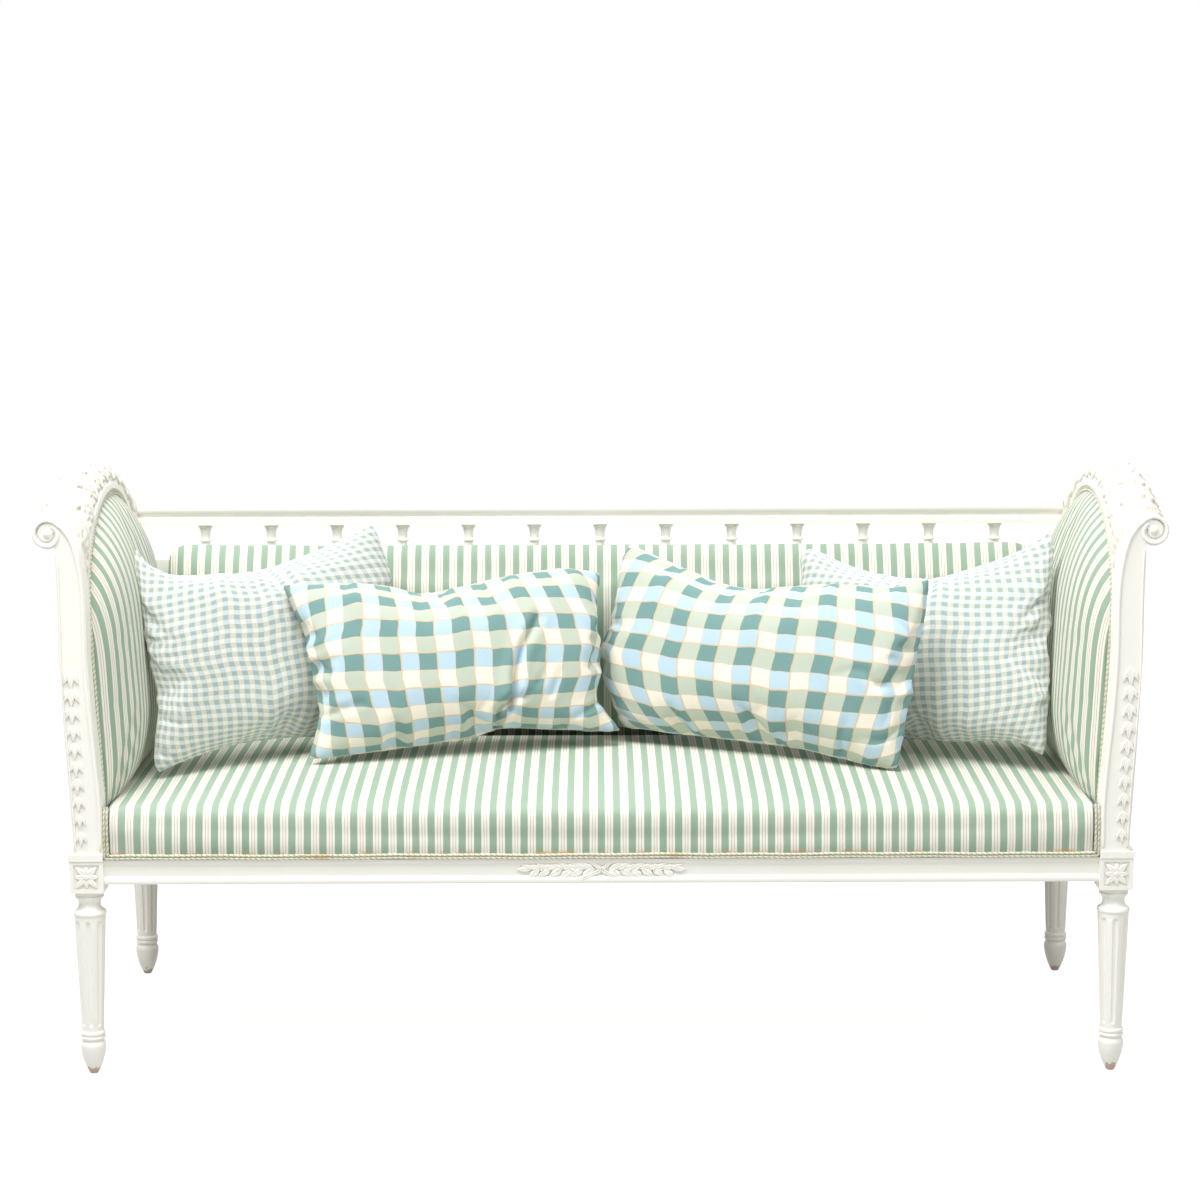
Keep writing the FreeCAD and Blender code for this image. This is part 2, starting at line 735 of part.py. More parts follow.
def make_post(end, side):
    label = "%s_post_%s" % (end, side)
    sx, sy = SIDES[side], ENDS[end]
    body = profile_pad(label + "_board", "XZ_Plane", post_outline(sx), D.post_depth)
    middle = POST_FACE_Y - D.post_depth / 2
    place(body, 0, sy * middle, 0)
    tenon = peg(label + "_tenon", D.post_tenon_radius, D.post_tenon_length + 5, (0, 0, 1),
                sx * HALF_X, sy * HALF_Y, BLOCK_TOP - D.post_tenon_length)
    face = sy * POST_FACE_Y
    eye = doc.addObject("Part::Sphere", label + "_eye")
    bind(eye, "Radius", D.volute_eye_radius)
    place(eye, sx * VOLUTE_X, face - sy * 4, VOLUTE_Z)
    whole = joined(label + "_whole", [body, tenon, eye])
    slack = D.joint_clearance
    tools = [
        peg(label + "_crest_hole", D.crest_tenon_radius + slack, D.crest_tenon_length + 6 + slack,
            (0, sy, 0), sx * (VOLUTE_X - 16), sy * (POST_BACK_Y - 6), VOLUTE_Z - 8),
        slab(label + "_arm_rail_mortise",
             span(sx, ARM_RAIL_X + 5 - slack, ARM_RAIL_X + D.arm_rail_thickness - 5 + slack),
             span(sy, POST_BACK_Y - 5, POST_BACK_Y + D.housing_depth + slack),
             (ARM_RAIL_Z + 6 - slack, ARM_RAIL_Z + D.arm_rail_height - 6 + slack)),
    ]
    if end == "front":
        tools.append(volute_groove(label, sx, sy))
    else:
        for name, low, high, width in BACK_RAILS:
            tools.append(slab("%s_%s_housing" % (label, name),
                              span(sx, POST_INNER_X - 20, rail_end_x(name) + slack),
                              (BACK_FRAME_Y - slack, BACK_FRAME_Y + width + slack),
                              (low - slack, high + slack)))
    keep(label, cut(label, whole, tools))


def volute_groove(label, sx, sy):
    """The sunk spiral that runs from the post's edge round the eye."""
    tool = doc.addObject("Part::Feature", label + "_spiral")
    steps = 14
    half = number(D.groove_width) / 2
    depth = number(D.groove_depth)
    proud = 2
    eye = number(D.volute_eye_radius) + half + 1
    start = number(D.volute_radius) - half - 2
    points = []
    for step in range(steps + 1):
        share = step / steps
        radius = start + (eye - start) * share
        angle = math.radians(number(D.volute_start_angle) - 360 * number(D.volute_turns) * share)
        points.append(FreeCAD.Vector(sx * (number(VOLUTE_X) + radius * math.cos(angle)), 0,
                                     number(VOLUTE_Z) + radius * math.sin(angle)))
    inner = []
    outer = []
    centre = FreeCAD.Vector(sx * number(VOLUTE_X), 0, number(VOLUTE_Z))
    for point in points:
        out = (point - centre).normalize()
        inner.append(point - out * half)
        outer.append(point + out * half)
    edge_in = Part.BSplineCurve()
    edge_in.interpolate(inner)
    edge_out = Part.BSplineCurve()
    edge_out.interpolate(outer)
    wire = Part.Wire([edge_in.toShape(), Part.makeLine(inner[-1], outer[-1]),
                      edge_out.toShape(), Part.makeLine(outer[0], inner[0])])
    tool.Shape = Part.Face(wire).extrude(FreeCAD.Vector(0, -sy * (depth + proud), 0))
    tool.Placement.Base = FreeCAD.Vector(0, sy * (number(POST_FACE_Y) + proud), 0)
    return tool


# Arm panels: a plane that leans out with the posts, with an arched outline

def panel_place(sx, base_x=None, lean=None, base_z=None):
    """Local x points outwards, local z climbs the lean."""
    base_x = number(D.panel_base_x) if base_x is None else base_x
    lean = number(D.panel_lean) if lean is None else lean
    base_z = number(D.panel_base_z) if base_z is None else base_z
    turn = FreeCAD.Rotation(FreeCAD.Vector(0, 1, 0), sx * lean)
    return FreeCAD.Placement(FreeCAD.Vector(sx * base_x, 0, base_z), turn)


def arch_wire(sx, x, inset, bottom):
    """The panel's outline: two upright sides and a half-elliptical arch, in local coordinates."""
    half = number(PANEL_HALF) - inset
    spring = number(D.panel_spring)
    rise = number(D.panel_arch_rise) - inset
    centre = FreeCAD.Vector(sx * x, 0, spring)
    major = FreeCAD.Vector(sx * x, half, spring)
    minor = FreeCAD.Vector(sx * x, 0, spring + rise)
    if half > rise:
        ellipse = Part.Ellipse(major, minor, centre)
    else:
        ellipse = Part.Ellipse(minor, major, centre)
    arch = ellipse.toShape().common(
        Part.makeBox(2, 2 * half + 2, rise + 1, FreeCAD.Vector(sx * x - 1, -half - 1, spring)))
    ends = [
        FreeCAD.Vector(sx * x, -half, spring), FreeCAD.Vector(sx * x, -half, bottom),
        FreeCAD.Vector(sx * x, half, bottom), FreeCAD.Vector(sx * x, half, spring)]
    lines = [Part.makeLine(ends[i], ends[i + 1]) for i in range(3)]
    return Part.Wire(Part.__sortEdges__(arch.Edges + lines))


def arch_slab(sx, x0, x1, inset, bottom):
    """The arched outline given a thickness from local x0 to x1, both counted outwards."""
    face = Part.Face(arch_wire(sx, x0, inset, bottom))
    return face.extrude(FreeCAD.Vector(sx * (x1 - x0), 0, 0))


def arm_opening(sx, reach, bottom):
    """The arched space between the posts and under the crest, out to a reach behind the panel's face."""
    opening = arch_slab(sx, -number(D.cutter_overrun), reach, 0, bottom)
    opening.Placement = panel_place(sx)
    return opening


def panel_dome(sx, inset, back, bottom):
    """The puffed pad: upright sections lofted along y, then trimmed to the arched outline."""
    half = number(PANEL_HALF) - number(D.gimp_width)
    spring = number(D.panel_spring)
    rise = number(D.panel_arch_rise) - number(D.gimp_width)
    wall = number(D.panel_wall) - inset
    sections = []
    full = number(D.panel_bulge)
    for share in (-1, -0.97, -0.88, -0.72, -0.5, -0.25, 0, 0.25, 0.5, 0.72, 0.88, 0.97, 1):
        y = share * half
        top = spring + rise * math.sqrt(max(0.0, 1 - share * share)) + 2
        climb = top - bottom
        swell = full * (1 - abs(share) ** 5) + full * 0.35
        front = back - wall
        # Fullest a little above the middle, and rounder towards the arch than towards the seat
        sections.append(path_of([
            (sx * back, y, bottom), (sx * front, y, bottom),
            (sx * (front - swell * 0.74), y, bottom + climb * 0.24, "via"),
            (sx * (front - swell), y, bottom + climb * 0.56),
            (sx * (front - swell * 0.8), y, bottom + climb * 0.84, "via"),
            (sx * front, y, top), (sx * back, y, top)]))
    loft = Part.makeLoft(sections, True, True)
    trim = arch_slab(sx, back, back - full * 2 - wall, number(D.gimp_width) + inset, bottom)
    return loft.common(trim)


def make_arm_upholstery(side):
    sx = SIDES[side]
    stance = panel_place(sx)
    back = number(D.arm_pad_back)
    cloth = number(D.cloth_thickness)
    outer = panel_dome(sx, 0, back, 0)
    inner = panel_dome(sx, cloth, back, cloth)
    keep("arm_cover_" + side, solid_feature("arm_cover_" + side, outer.cut(inner), stance))
    keep("arm_stuffing_" + side, solid_feature("arm_stuffing_" + side, inner, stance))
    # Webbing on the panel plane, behind the pad
    web = number(D.web_thickness)
    half_web = number(D.web_width) / 2
    reach = number(PANEL_HALF)
    top = number(D.panel_spring + D.panel_arch_rise)
    strips = []
    outline = arch_slab(sx, back, back + web, 0, 0)
    for y in evenly(D.arm_web_count, D.arm_web_pitch):
        strip = box_between(span(sx, back, back + web), (y - half_web, y + half_web), (0, top))
        strips.append(strip.common(outline))
    outline = arch_slab(sx, back + web, back + 2 * web, 0, 0)
    for index in range(int(number(D.arm_cross_web_count))):
        z = number(D.arm_cross_web_height + D.arm_cross_web_pitch * index)
        strip = box_between(span(sx, back + web, back + 2 * web), (-reach, reach), (z, z + 2 * half_web))
        strips.append(strip.common(outline))
    keep("arm_webbing_" + side,
         solid_feature("arm_webbing_" + side, Part.makeCompound(strips), stance))
    # Gimp that covers the join of cloth and wood, all round the arch
    thick = number(D.gimp_thickness)
    wall = number(D.panel_wall)
    front = back - wall - 1
    ring = arch_slab(sx, front, front + thick, 0, 0)
    ring = ring.cut(arch_slab(sx, front - 1, front + thick + 1, number(D.gimp_width), -20))
    keep("arm_gimp_" + side, solid_feature("arm_gimp_" + side, ring, stance))
    # The plain cloth on the outside of the arm
    lean = number(D.outer_cover_lean)
    base_x = number(RAIL_FACE_X) - number(D.rebate_depth)
    rise = number(D.panel_base_z - RAIL_SHOW_TOP)
    drift = rise * math.tan(math.radians(lean)) + 0.1
    cover = arch_slab(sx, 0, cloth, 0, 0.3 - rise)
    cover.Placement = panel_place(sx, base_x + drift, lean)
    overrun = number(D.cutter_overrun)
    cover = cover.common(arm_opening(sx, 2 * overrun, -2 * rise))
    # Below the top of the leg blocks the cloth runs only between them
    foot_half = number(HALF_Y - HALF_BLOCK - D.joint_clearance)
    foot_top = number(BLOCK_TOP) + 0.3
    beside = span(sx, base_x - overrun, base_x + overrun)
    for sy in ENDS.values():
        past = span(sy, foot_half, reach + overrun)
        cover = cover.cut(box_between(beside, past, (foot_top - 2 * overrun, foot_top)))
    keep("arm_outer_cover_" + side, solid_feature("arm_outer_cover_" + side, cover))


def make_arm_rail(side):
    """The tacking rail along the foot of an arm panel, tenoned into both posts."""
    label = "arm_lower_rail_" + side
    sx = SIDES[side]
    low = ARM_RAIL_X
    high = low + D.arm_rail_thickness
    rail = slab(label + "_bar", span(sx, low, high), (-POST_BACK_Y, POST_BACK_Y),
                (ARM_RAIL_Z, ARM_RAIL_Z + D.arm_rail_height))
    reach = POST_BACK_Y + D.housing_depth
    tenon = slab(label + "_tenons", span(sx, low + 5, high - 5), (-reach, reach),
                 (ARM_RAIL_Z + 6, ARM_RAIL_Z + D.arm_rail_height - 6))
    keep(label, joined(label, [rail, tenon]))


# Arched crest that rolls outwards along the top of each arm

def crest_section(sx, y):
    """One upright section: it rises and draws in towards the middle of the arm."""
    lift_share = 1 - (y / number(POST_BACK_Y)) ** 2
    up = number(D.crest_rise) * lift_share
    draw = number(D.crest_draw_in) * lift_share
    waist = number(POST_INNER_X + D.post_lean)
    outer = waist + number(D.post_waist_width)
    head = number(BLOCK_TOP + D.post_head_height)
    foot = number(D.panel_base_z + D.panel_spring + D.crest_foot_rise)
    r = number(D.volute_radius)
    vx, vz = number(VOLUTE_X), number(VOLUTE_Z)
    points = [
        (waist + 1, y, foot),
        (waist + 8, y, head + 7 + up),
        (waist + 20.5 - draw * 0.4, y, head + 40 + up, "via"),
        (vx - draw, y, vz + r + up),
        (vx + r * 0.74 - draw * 0.35, y, vz + r * 0.7 + up, "via"),
        (vx + r, y, vz + up * 0.72),
        (vx + r * 0.7, y, vz - r * 0.7 + up * 0.8, "via"),
        (vx, y, vz - r + up * 0.85),
        (outer + 2, y, vz - r * 0.9 + up * 0.85),
        (outer, y, foot),
    ]
    return path_of([(sx * p[0],) + tuple(p[1:]) for p in points])


def make_crest(side):
    label = "arm_crest_" + side
    sx = SIDES[side]
    reach = number(POST_BACK_Y)
    stations = [-1, -0.62, 0, 0.62, 1]
    roll = Part.makeLoft([crest_section(sx, share * reach) for share in stations], True, False)
    # The arched opening for the panel, cut through the board but not through the roll outside it
    roll = roll.cut(arm_opening(sx, number(D.crest_board_depth), 0))
    radius = number(D.crest_tenon_radius)
    length = number(D.crest_tenon_length)
    spot = FreeCAD.Vector(sx * number(VOLUTE_X - 16), -reach - length, number(VOLUTE_Z - 8))
    for start in (-reach - length, reach - 5):
        spot.y = start
        roll = roll.fuse(Part.makeCylinder(radius, length + 5, spot, FreeCAD.Vector(0, 1, 0)))
    keep(label, solid_feature(label, roll.removeSplitter()))


# Spindle back

BACK_RAILS = [
    ("top", D.top_rail_z, D.top_rail_z + D.top_rail_height, D.top_rail_depth),
    ("upper", D.upper_cross_z, UPPER_CROSS_TOP, D.cross_rail_depth),
    ("lower", D.lower_cross_z, D.lower_cross_z + D.cross_rail_height, D.cross_rail_depth),
]


def rail_end_x(name):
    """How far out a back rail reaches: past the inner edge of the post by the housing depth."""
    if name == "lower":
        return POST_INNER_X + D.housing_depth + 4
    return POST_INNER_X + D.post_lean + D.housing_depth


def make_back_rails():
    end = rail_end_x("top")
    depth = D.top_rail_depth
    low = D.top_rail_z
    high = low + D.top_rail_height
    groove = low + D.top_rail_height * 0.44
    # A full bead above a hollow and a flat band, the same front and back
    outline = [
        (0, low), (depth, low), (depth, low + 9), (depth - 4, low + 11),
        (depth - 6, groove - 4, "via"), (depth - 3, groove),
        (depth, groove + 12, "via"), (depth - 6, high - 3), (depth / 2, high, "via"), (6, high - 3),
        (0, groove + 12, "via"), (3, groove),
        (6, groove - 4, "via"), (4, low + 11), (0, low + 9),
    ]
    body = profile_pad("back_top_rail_moulding", "YZ_Plane", outline, end * 2)
    place(body, 0, BACK_FRAME_Y, 0)
    holes = [spindle_hole("top_rail", index, low) for index in range(spindle_total())]
    keep("back_top_rail", cut("back_top_rail", body, holes))
    for name, low, high, width in BACK_RAILS[1:]:
        label = "back_%s_cross_rail" % name
        end = rail_end_x(name)
        rail = slab(label, (-end, end), (BACK_FRAME_Y, BACK_FRAME_Y + width), (low, high))
        if name == "upper":
            foot = high - D.spindle_tenon - 1
            holes = [spindle_hole(label, index, foot) for index in range(spindle_total())]
            rail = cut(label, rail, holes)
        keep(label, rail)


def spindle_total():
    return int(number(D.spindle_count))


def spindle_x(index):
    return D.spindle_pitch * (index - (spindle_total() - 1) / 2)


def spindle_hole(label, index, low):
    return peg("%s_hole_%d" % (label, index), D.spindle_pin_radius + D.joint_clearance,
               D.spindle_tenon + 1, (0, 0, 1), spindle_x(index), SPINDLE_Y, low)


SPINDLE_Y = BACK_FRAME_Y + D.top_rail_depth / 2 - 2


def make_spindles():
    """One turned baluster, repeated along the rail."""
    low = UPPER_CROSS_TOP
    high = D.top_rail_z
    length = high - low
    shaft = D.spindle_shaft_radius
    full = D.spindle_radius
    pin = D.spindle_pin_radius
    abacus = high - D.spindle_abacus_height
    # A straight shaft, a ring, a bell and a broad flat cap under the top rail
    outline = [
        (0, low - D.spindle_tenon), (pin, low - D.spindle_tenon), (pin, low),
        (shaft + 1.5, low), (shaft + 1.5, low + 3), (shaft, low + 5),
        (shaft, low + length * 0.5), (D.spindle_ring_radius, low + length * 0.54, "via"),
        (shaft, low + length * 0.58), (shaft, low + length * 0.66),
        (shaft + 1.2, low + length * 0.8, "via"), (full - 1.5, abacus),
        (full, abacus), (full, high), (pin, high),
        (pin, high + D.spindle_tenon), (0, high + D.spindle_tenon),
    ]
    body = turned("back_spindles", outline)
    place(body, spindle_x(0), SPINDLE_Y, 0)
    row = body.newObject("PartDesign::LinearPattern", "spindle_row")
    row.Originals = [item for item in body.Group if item.TypeId == "PartDesign::Revolution"]
    row.Direction = (plane(body, "X_Axis"), [""])
    row.setExpression("Length", (D.spindle_pitch * (spindle_total() - 1)).formula)
    row.setExpression("Occurrences", D.spindle_count.formula)
    body.Tip = row
    keep("back_spindles", body)


def make_back_frame():
    width = D.stile_width
    low = D.lower_cross_z + D.cross_rail_height
    side = BACK_PAD_HALF - width
    for name, middle in (("left", -side), ("centre", 0 * side), ("right", side)):
        label = "back_stile_" + name
        keep(label, slab(label, (middle - width / 2, middle + width / 2),
                         (BACK_FRAME_Y, BACK_FRAME_BACK), (low, D.upper_cross_z)))


def back_pad_section(x, inset):
    """One upright section of the back pad: flat behind, full in front, rounded over the top."""
    half = number(BACK_PAD_HALF)
    share = abs(x) / half
    top = number(D.back_pad_top) - inset
    bottom = number(D.back_pad_bottom) + inset
    back = number(BACK_FRAME_Y) - number(D.web_thickness) * 2
    edge = 14 - inset
    depth = (number(D.back_pad_thickness) - edge) * (1 - share ** 8 * 0.8)
    front = back - edge
    shoulder = top - 26
    return path_of([
        (x, back, bottom), (x, back, top - 8), (x, back - edge * 0.6, top, "via"),
        (x, front - depth * 0.35, shoulder),
        (x, front - depth, (shoulder + bottom) / 2, "via"),
        (x, front - depth * 0.3, bottom)])


def back_pad_form(inset):
    """The pad's sections from end to end, with its upper corners rounded off."""
    half = number(BACK_PAD_HALF) - inset
    shares = (-1, -0.985, -0.95, -0.88, -0.75, -0.5, 0.5, 0.75, 0.88, 0.95, 0.985, 1)
    pad = Part.makeLoft([back_pad_section(share * half, inset) for share in shares], True, True)
    top = number(D.back_pad_top) - inset
    bottom = number(D.back_pad_bottom) - 1
    round_off = number(D.back_pad_corner) - inset
    far = round_off * (1 - math.sqrt(0.5))
    front = number(BACK_FRAME_Y) - 2 * number(D.back_pad_thickness)
    outline = path_of([
        (-half, front, bottom), (-half, front, top - round_off),
        (-half + far, front, top - far, "via"), (-half + round_off, front, top),
        (half - round_off, front, top), (half - far, front, top - far, "via"),
        (half, front, top - round_off), (half, front, bottom)])
    return pad.common(Part.Face(outline).extrude(FreeCAD.Vector(0, 3 * number(D.back_pad_thickness), 0)))


def make_back_upholstery():
    outer = back_pad_form(0)
    inner = back_pad_form(number(D.cloth_thickness))
    keep("back_cover", solid_feature("back_cover", outer.cut(inner)))
    keep("back_stuffing", solid_feature("back_stuffing", inner))
    web = number(D.web_thickness)
    half_web = number(D.web_width) / 2
    frame_y = number(BACK_FRAME_Y)
    low = number(D.lower_cross_z)
    tack = number(D.back_web_tack_gap)
    reach = number(BACK_PAD_HALF - D.stile_width)
    pitch = 2 * (reach - number(D.back_web_end_gap)) / (number(D.back_web_count) - 1)
    upright = (low + tack, number(UPPER_CROSS_TOP) - tack)
    strips = []
    for x in evenly(D.back_web_count, pitch):
        strips.append(box_between((x - half_web, x + half_web), (frame_y - web, frame_y), upright))
    for index in range(2):
        z = low + number(D.back_cross_web_height + D.back_cross_web_pitch * index)
        strips.append(box_between((-reach, reach), (frame_y - 2 * web, frame_y - web),
                                  (z, z + 2 * half_web)))
    keep("back_webbing", solid_feature("back_webbing", Part.makeCompound(strips)))
    edge = BACK_PAD_HALF - D.stile_width / 2
    keep("back_outer_cover", slab("back_outer_cover", (-edge, edge),
                                  (BACK_FRAME_BACK, BACK_FRAME_BACK + D.cloth_thickness),
                                  (RAIL_SHOW_TOP, UPPER_CROSS_TOP - 3)))


# Seat: webbing, hessian, stuffing and cover, front apron and the cloth underneath

def seat_section(x, inset):
    share = abs(x) / number(SEAT_HALF)
    bottom = number(SEAT_BOTTOM)
    edge = number(D.seat_edge_height) - inset
    crown = number(D.seat_crown) * (1 - 0.8 * share ** 4)
    front = number(SEAT_FRONT_Y) - 5 + inset
    back = number(SEAT_BACK_Y) - inset
    roll = number(D.seat_edge_roll)
    return path_of([
        (x, front, bottom), (x, front - 3, (bottom + edge - roll) / 2, "via"), (x, front, edge - roll),
        (x, front + 5, edge - 4.5, "via"), (x, front + roll, edge),
        (x, (front + back) / 2, edge + crown, "via"), (x, back, edge),
        (x, back, bottom)])


def make_seat():
    half = number(SEAT_HALF)
    cloth = number(D.cloth_thickness)
    shares = (-1, -0.93, -0.8, -0.6, -0.3, 0.3, 0.6, 0.8, 0.93, 1)
    outer = Part.makeLoft([seat_section(share * half, 0) for share in shares], True, True)
    inner = Part.makeLoft([seat_section(share * (half - cloth), cloth) for share in shares], True, True)
    front = number(SEAT_FRONT_Y)
    bottom = number(SEAT_BOTTOM)
    apron = box_between((-half, half), (front - cloth, front), (number(RAIL_SHOW_TOP), bottom))
    lip = box_between((-half, half), (front - 5, front), (bottom - 1, bottom))
    cover = outer.cut(inner).fuse([apron, lip])
    keep("seat_cover", solid_feature("seat_cover", cover.removeSplitter()))
    keep("seat_stuffing", solid_feature("seat_stuffing", inner))
    web = number(D.web_thickness)
    half_web = number(D.web_width) / 2
    top = number(RAIL_TOP)
    reach_x = number(RAIL_BACK_X + D.web_tack_reach)
    reach_y = number(RAIL_BACK_Y + D.web_tack_reach)
    pitch = 2 * number(SEAT_HALF - D.seat_web_end_gap) / (number(D.seat_web_count) - 1)
    strips = []
    for x in evenly(D.seat_web_count, pitch):
        strips.append(box_between((x - half_web, x + half_web), (-reach_y, reach_y), (top, top + web)))
    for y in evenly(D.seat_cross_web_count, D.seat_cross_web_pitch):
        strips.append(box_between((-reach_x, reach_x), (y - half_web, y + half_web),
                                  (top + web, top + 2 * web)))
    keep("seat_webbing", solid_feature("seat_webbing", Part.makeCompound(strips)))
    keep("seat_hessian", slab("seat_hessian", (-SEAT_HALF, SEAT_HALF), (SEAT_FRONT_Y, SEAT_BACK_Y),
                              (WEB_TOP, SEAT_BOTTOM)))
    make_dust_cover()
    # Gimp along the foot of the apron and up beside each post
    half_strip = POST_INNER_X
    face = RAIL_FACE_Y - D.rebate_depth + D.cloth_thickness
    strip_y = (-(face + 4), -face)
    strips = [slab("seat_gimp_strip", (-half_strip, half_strip), strip_y,
                   (RAIL_SHOW_TOP, RAIL_SHOW_TOP + D.gimp_width))]
    for side, sx in SIDES.items():
        strips.append(slab("seat_gimp_upright_" + side, span(sx, half_strip - D.gimp_width, half_strip),
                           strip_y, (RAIL_SHOW_TOP + D.gimp_width - 1, RAIL_TOP + 4)))
    keep("seat_gimp", joined("seat_gimp", strips))
    return outer


def make_dust_cover():
    """Cloth tacked under the rails, notched round the legs."""
    edge_x = number(RAIL_BACK_X + D.dust_cover_reach)
    edge_y = number(RAIL_BACK_Y + D.dust_cover_reach)
    top = number(RAIL_Z)
    sheet_z = (top - number(D.hessian_thickness), top)
    cloth = box_between((-edge_x, edge_x), (-edge_y, edge_y), sheet_z)
    notch_x = number(POST_INNER_X) - 1
    notch_y = number(HALF_Y - HALF_BLOCK) - 1
    for sx in SIDES.values():
        for sy in ENDS.values():
            notch = box_between(span(sx, notch_x, edge_x + 1), span(sy, notch_y, edge_y + 1), sheet_z)
            cloth = cloth.cut(notch)
    keep("dust_cover", solid_feature("dust_cover", cloth))


# Carved ornaments, blocked out on the faces that carry them

def leaf(length, width, thickness):
    """A leaf outline of two arcs, lying along +x from the origin, raised along +z."""
    wire = path_of([(0, 0, 0), (length / 2, width / 2, 0, "via"),
                    (length, 0, 0), (length / 2, -width / 2, 0, "via")])
    return Part.Face(wire).extrude(FreeCAD.Vector(0, 0, thickness))


def stand_up(shape, x, y, z, angle=0.0):
    """Turn a flat ornament upright against a front face, turned by an angle in that face."""
    shape = shape.copy()
    upright = FreeCAD.Rotation(FreeCAD.Vector(1, 0, 0), 90)
    turn = FreeCAD.Rotation(FreeCAD.Vector(0, -1, 0), angle)
    shape.Placement = FreeCAD.Placement(FreeCAD.Vector(x, y, z), turn.multiply(upright))
    return shape


def make_ornaments():
    thick = number(D.rosette_thickness)
    panel = number(D.panel_width)
    face = -(number(HALF_Y + HALF_BLOCK) - number(D.panel_depth))
    middle = number(BLOCK_Z) + 6 + panel / 2
    rosettes = []
    for sx in SIDES.values():
        x = sx * number(HALF_X)
        petals = []
        for index in range(8):
            length = panel * (0.6 if index % 2 else 0.42)
            petals.append(stand_up(leaf(length, panel * 0.2, thick), x, face, middle, 45 * index))
        boss = stand_up(Part.makeCylinder(panel * 0.1, thick + 1.4), x, face, middle)
        rosettes.append(boss.fuse(petals).removeSplitter())
    keep("block_rosettes", solid_feature("block_rosettes", Part.makeCompound(rosettes)))
    husks = []
    count = int(number(D.husk_count))
    pitch = number(D.husk_pitch)
    for sx in SIDES.values():
        for index in range(count):
            z = number(BLOCK_TOP) + 12 + pitch * index
            x = number(POST_INNER_X + D.post_foot_width) - 14 + min(10.0, index * 1.35)
            husks.append(stand_up(leaf(pitch - 2, number(D.husk_width), number(D.husk_thickness)),
                                  sx * x, -number(POST_FACE_Y), z, 90))
    keep("post_husks", solid_feature("post_husks", Part.makeCompound(husks)))
    hollow = -(number(RAIL_FACE_Y) - number(D.rail_hollow_depth))
    centre_z = number(RAIL_Z) + number(D.rail_bead_height) + 13
    lift = number(D.spray_thickness)
    length = number(D.spray_length)
    leaf_length = number(D.spray_leaf_length)
    leaf_width = number(D.spray_leaf_width)
    knot = stand_up(Part.makeCylinder(leaf_width / 2, lift + 1), 0, hollow, centre_z)
    sprays = [knot]
    for sx in SIDES.values():
        for index in range(6):
            start = 12 + index * (length - leaf_length) / 6
            width = leaf_width * (1 - index * 0.09)
            for tilt in (20, -20):
                angle = tilt if sx > 0 else 180 - tilt
                sprays.append(stand_up(leaf(leaf_length, width, lift), sx * start, hollow, centre_z, angle))
        stem = leaf(length, leaf_width / 2, lift)
        sprays.append(stand_up(stem, 0, hollow, centre_z, 0 if sx > 0 else 180))
        for tilt in (40, -40):
            angle = tilt if sx > 0 else 180 - tilt
            ribbon = leaf(number(D.ribbon_length), 6, lift + 1)
            sprays.append(stand_up(ribbon, 0, hollow, centre_z, angle))
    # The carving is seated on the rail's mouldings
    garland = sprays[0].fuse(sprays[1:]).cut(rail_form(-1, length + leaf_length))
    keep("front_rail_ornament", solid_feature("front_rail_ornament", garland.removeSplitter()))


# Loose pillows: lens-shaped sections with a crown, drawn in between the corners

def pillow_form(length, height, thickness, shrink):
    seam = number(D.pillow_seam) - shrink
    draw = number(D.pillow_draw_in)
    sections = []
    for share in (-1, -0.96, -0.87, -0.72, -0.5, -0.25, 0, 0.25, 0.5, 0.72, 0.87, 0.96, 1):
        x = share * (length / 2 - shrink)
        pull = draw * (1 - share * share)
        half = height / 2 - shrink - pull
        lip = seam / 2
        crown = lip + (thickness / 2 - shrink - lip) * (1.04 - abs(share) ** 2.6) / 1.04
        sections.append(path_of([
            (x, lip, -half), (x, -lip, -half), (x, -crown, 0, "via"), (x, -lip, half),
            (x, lip, half), (x, crown, 0, "via")]))
    return Part.makeLoft(sections, True, True)


def resting_height(form, x, y, attitude, seat):
    """How high the pillow's middle stands when it is set down on the seat."""
    level = number(D.seat_edge_height + D.small_height + D.large_height)
    gap = number(D.pillow_rest_gap)
    falling = form.copy()
    for attempt in range(20):
        falling.Placement = FreeCAD.Placement(FreeCAD.Vector(x, y, level), attitude)
        excess = falling.distToShape(seat)[0] - gap
        if excess < 0.02:
            return level
        level -= excess
    raise RuntimeError("a pillow finds no rest on the seat")


def make_pillow(label, seat):
    kind, side, arm_gap, back_gap, turn, lean, tilt = PILLOWS[label]
    length = number(getattr(D, kind + "_length"))
    height = number(getattr(D, kind + "_height"))
    thickness = number(getattr(D, kind + "_thickness"))
    half_plan = length / 2
    swing = math.radians(abs(turn))
    x = SIDES[side] * (number(D.panel_base_x) - arm_gap - half_plan * math.cos(swing))
    y = (number(BACK_FRAME_Y - D.back_pad_thickness) - back_gap - half_plan * math.sin(swing)
         - height / 2 * math.sin(math.radians(lean)))
    about_z = FreeCAD.Rotation(FreeCAD.Vector(0, 0, 1), turn)
    about_x = FreeCAD.Rotation(FreeCAD.Vector(1, 0, 0), -lean)
    about_y = FreeCAD.Rotation(FreeCAD.Vector(0, 1, 0), -tilt)
    attitude = about_z.multiply(about_x).multiply(about_y)
    cloth = number(D.cloth_thickness)
    outer = pillow_form(length, height, thickness, 0)
    inner = pillow_form(length, height, thickness, cloth)
    stance = FreeCAD.Placement(FreeCAD.Vector(x, y, resting_height(outer, x, y, attitude, seat)), attitude)
    keep(label + "_cover", solid_feature(label + "_cover", outer.cut(inner), stance))
    keep(label + "_filling", solid_feature(label + "_filling", inner, stance))


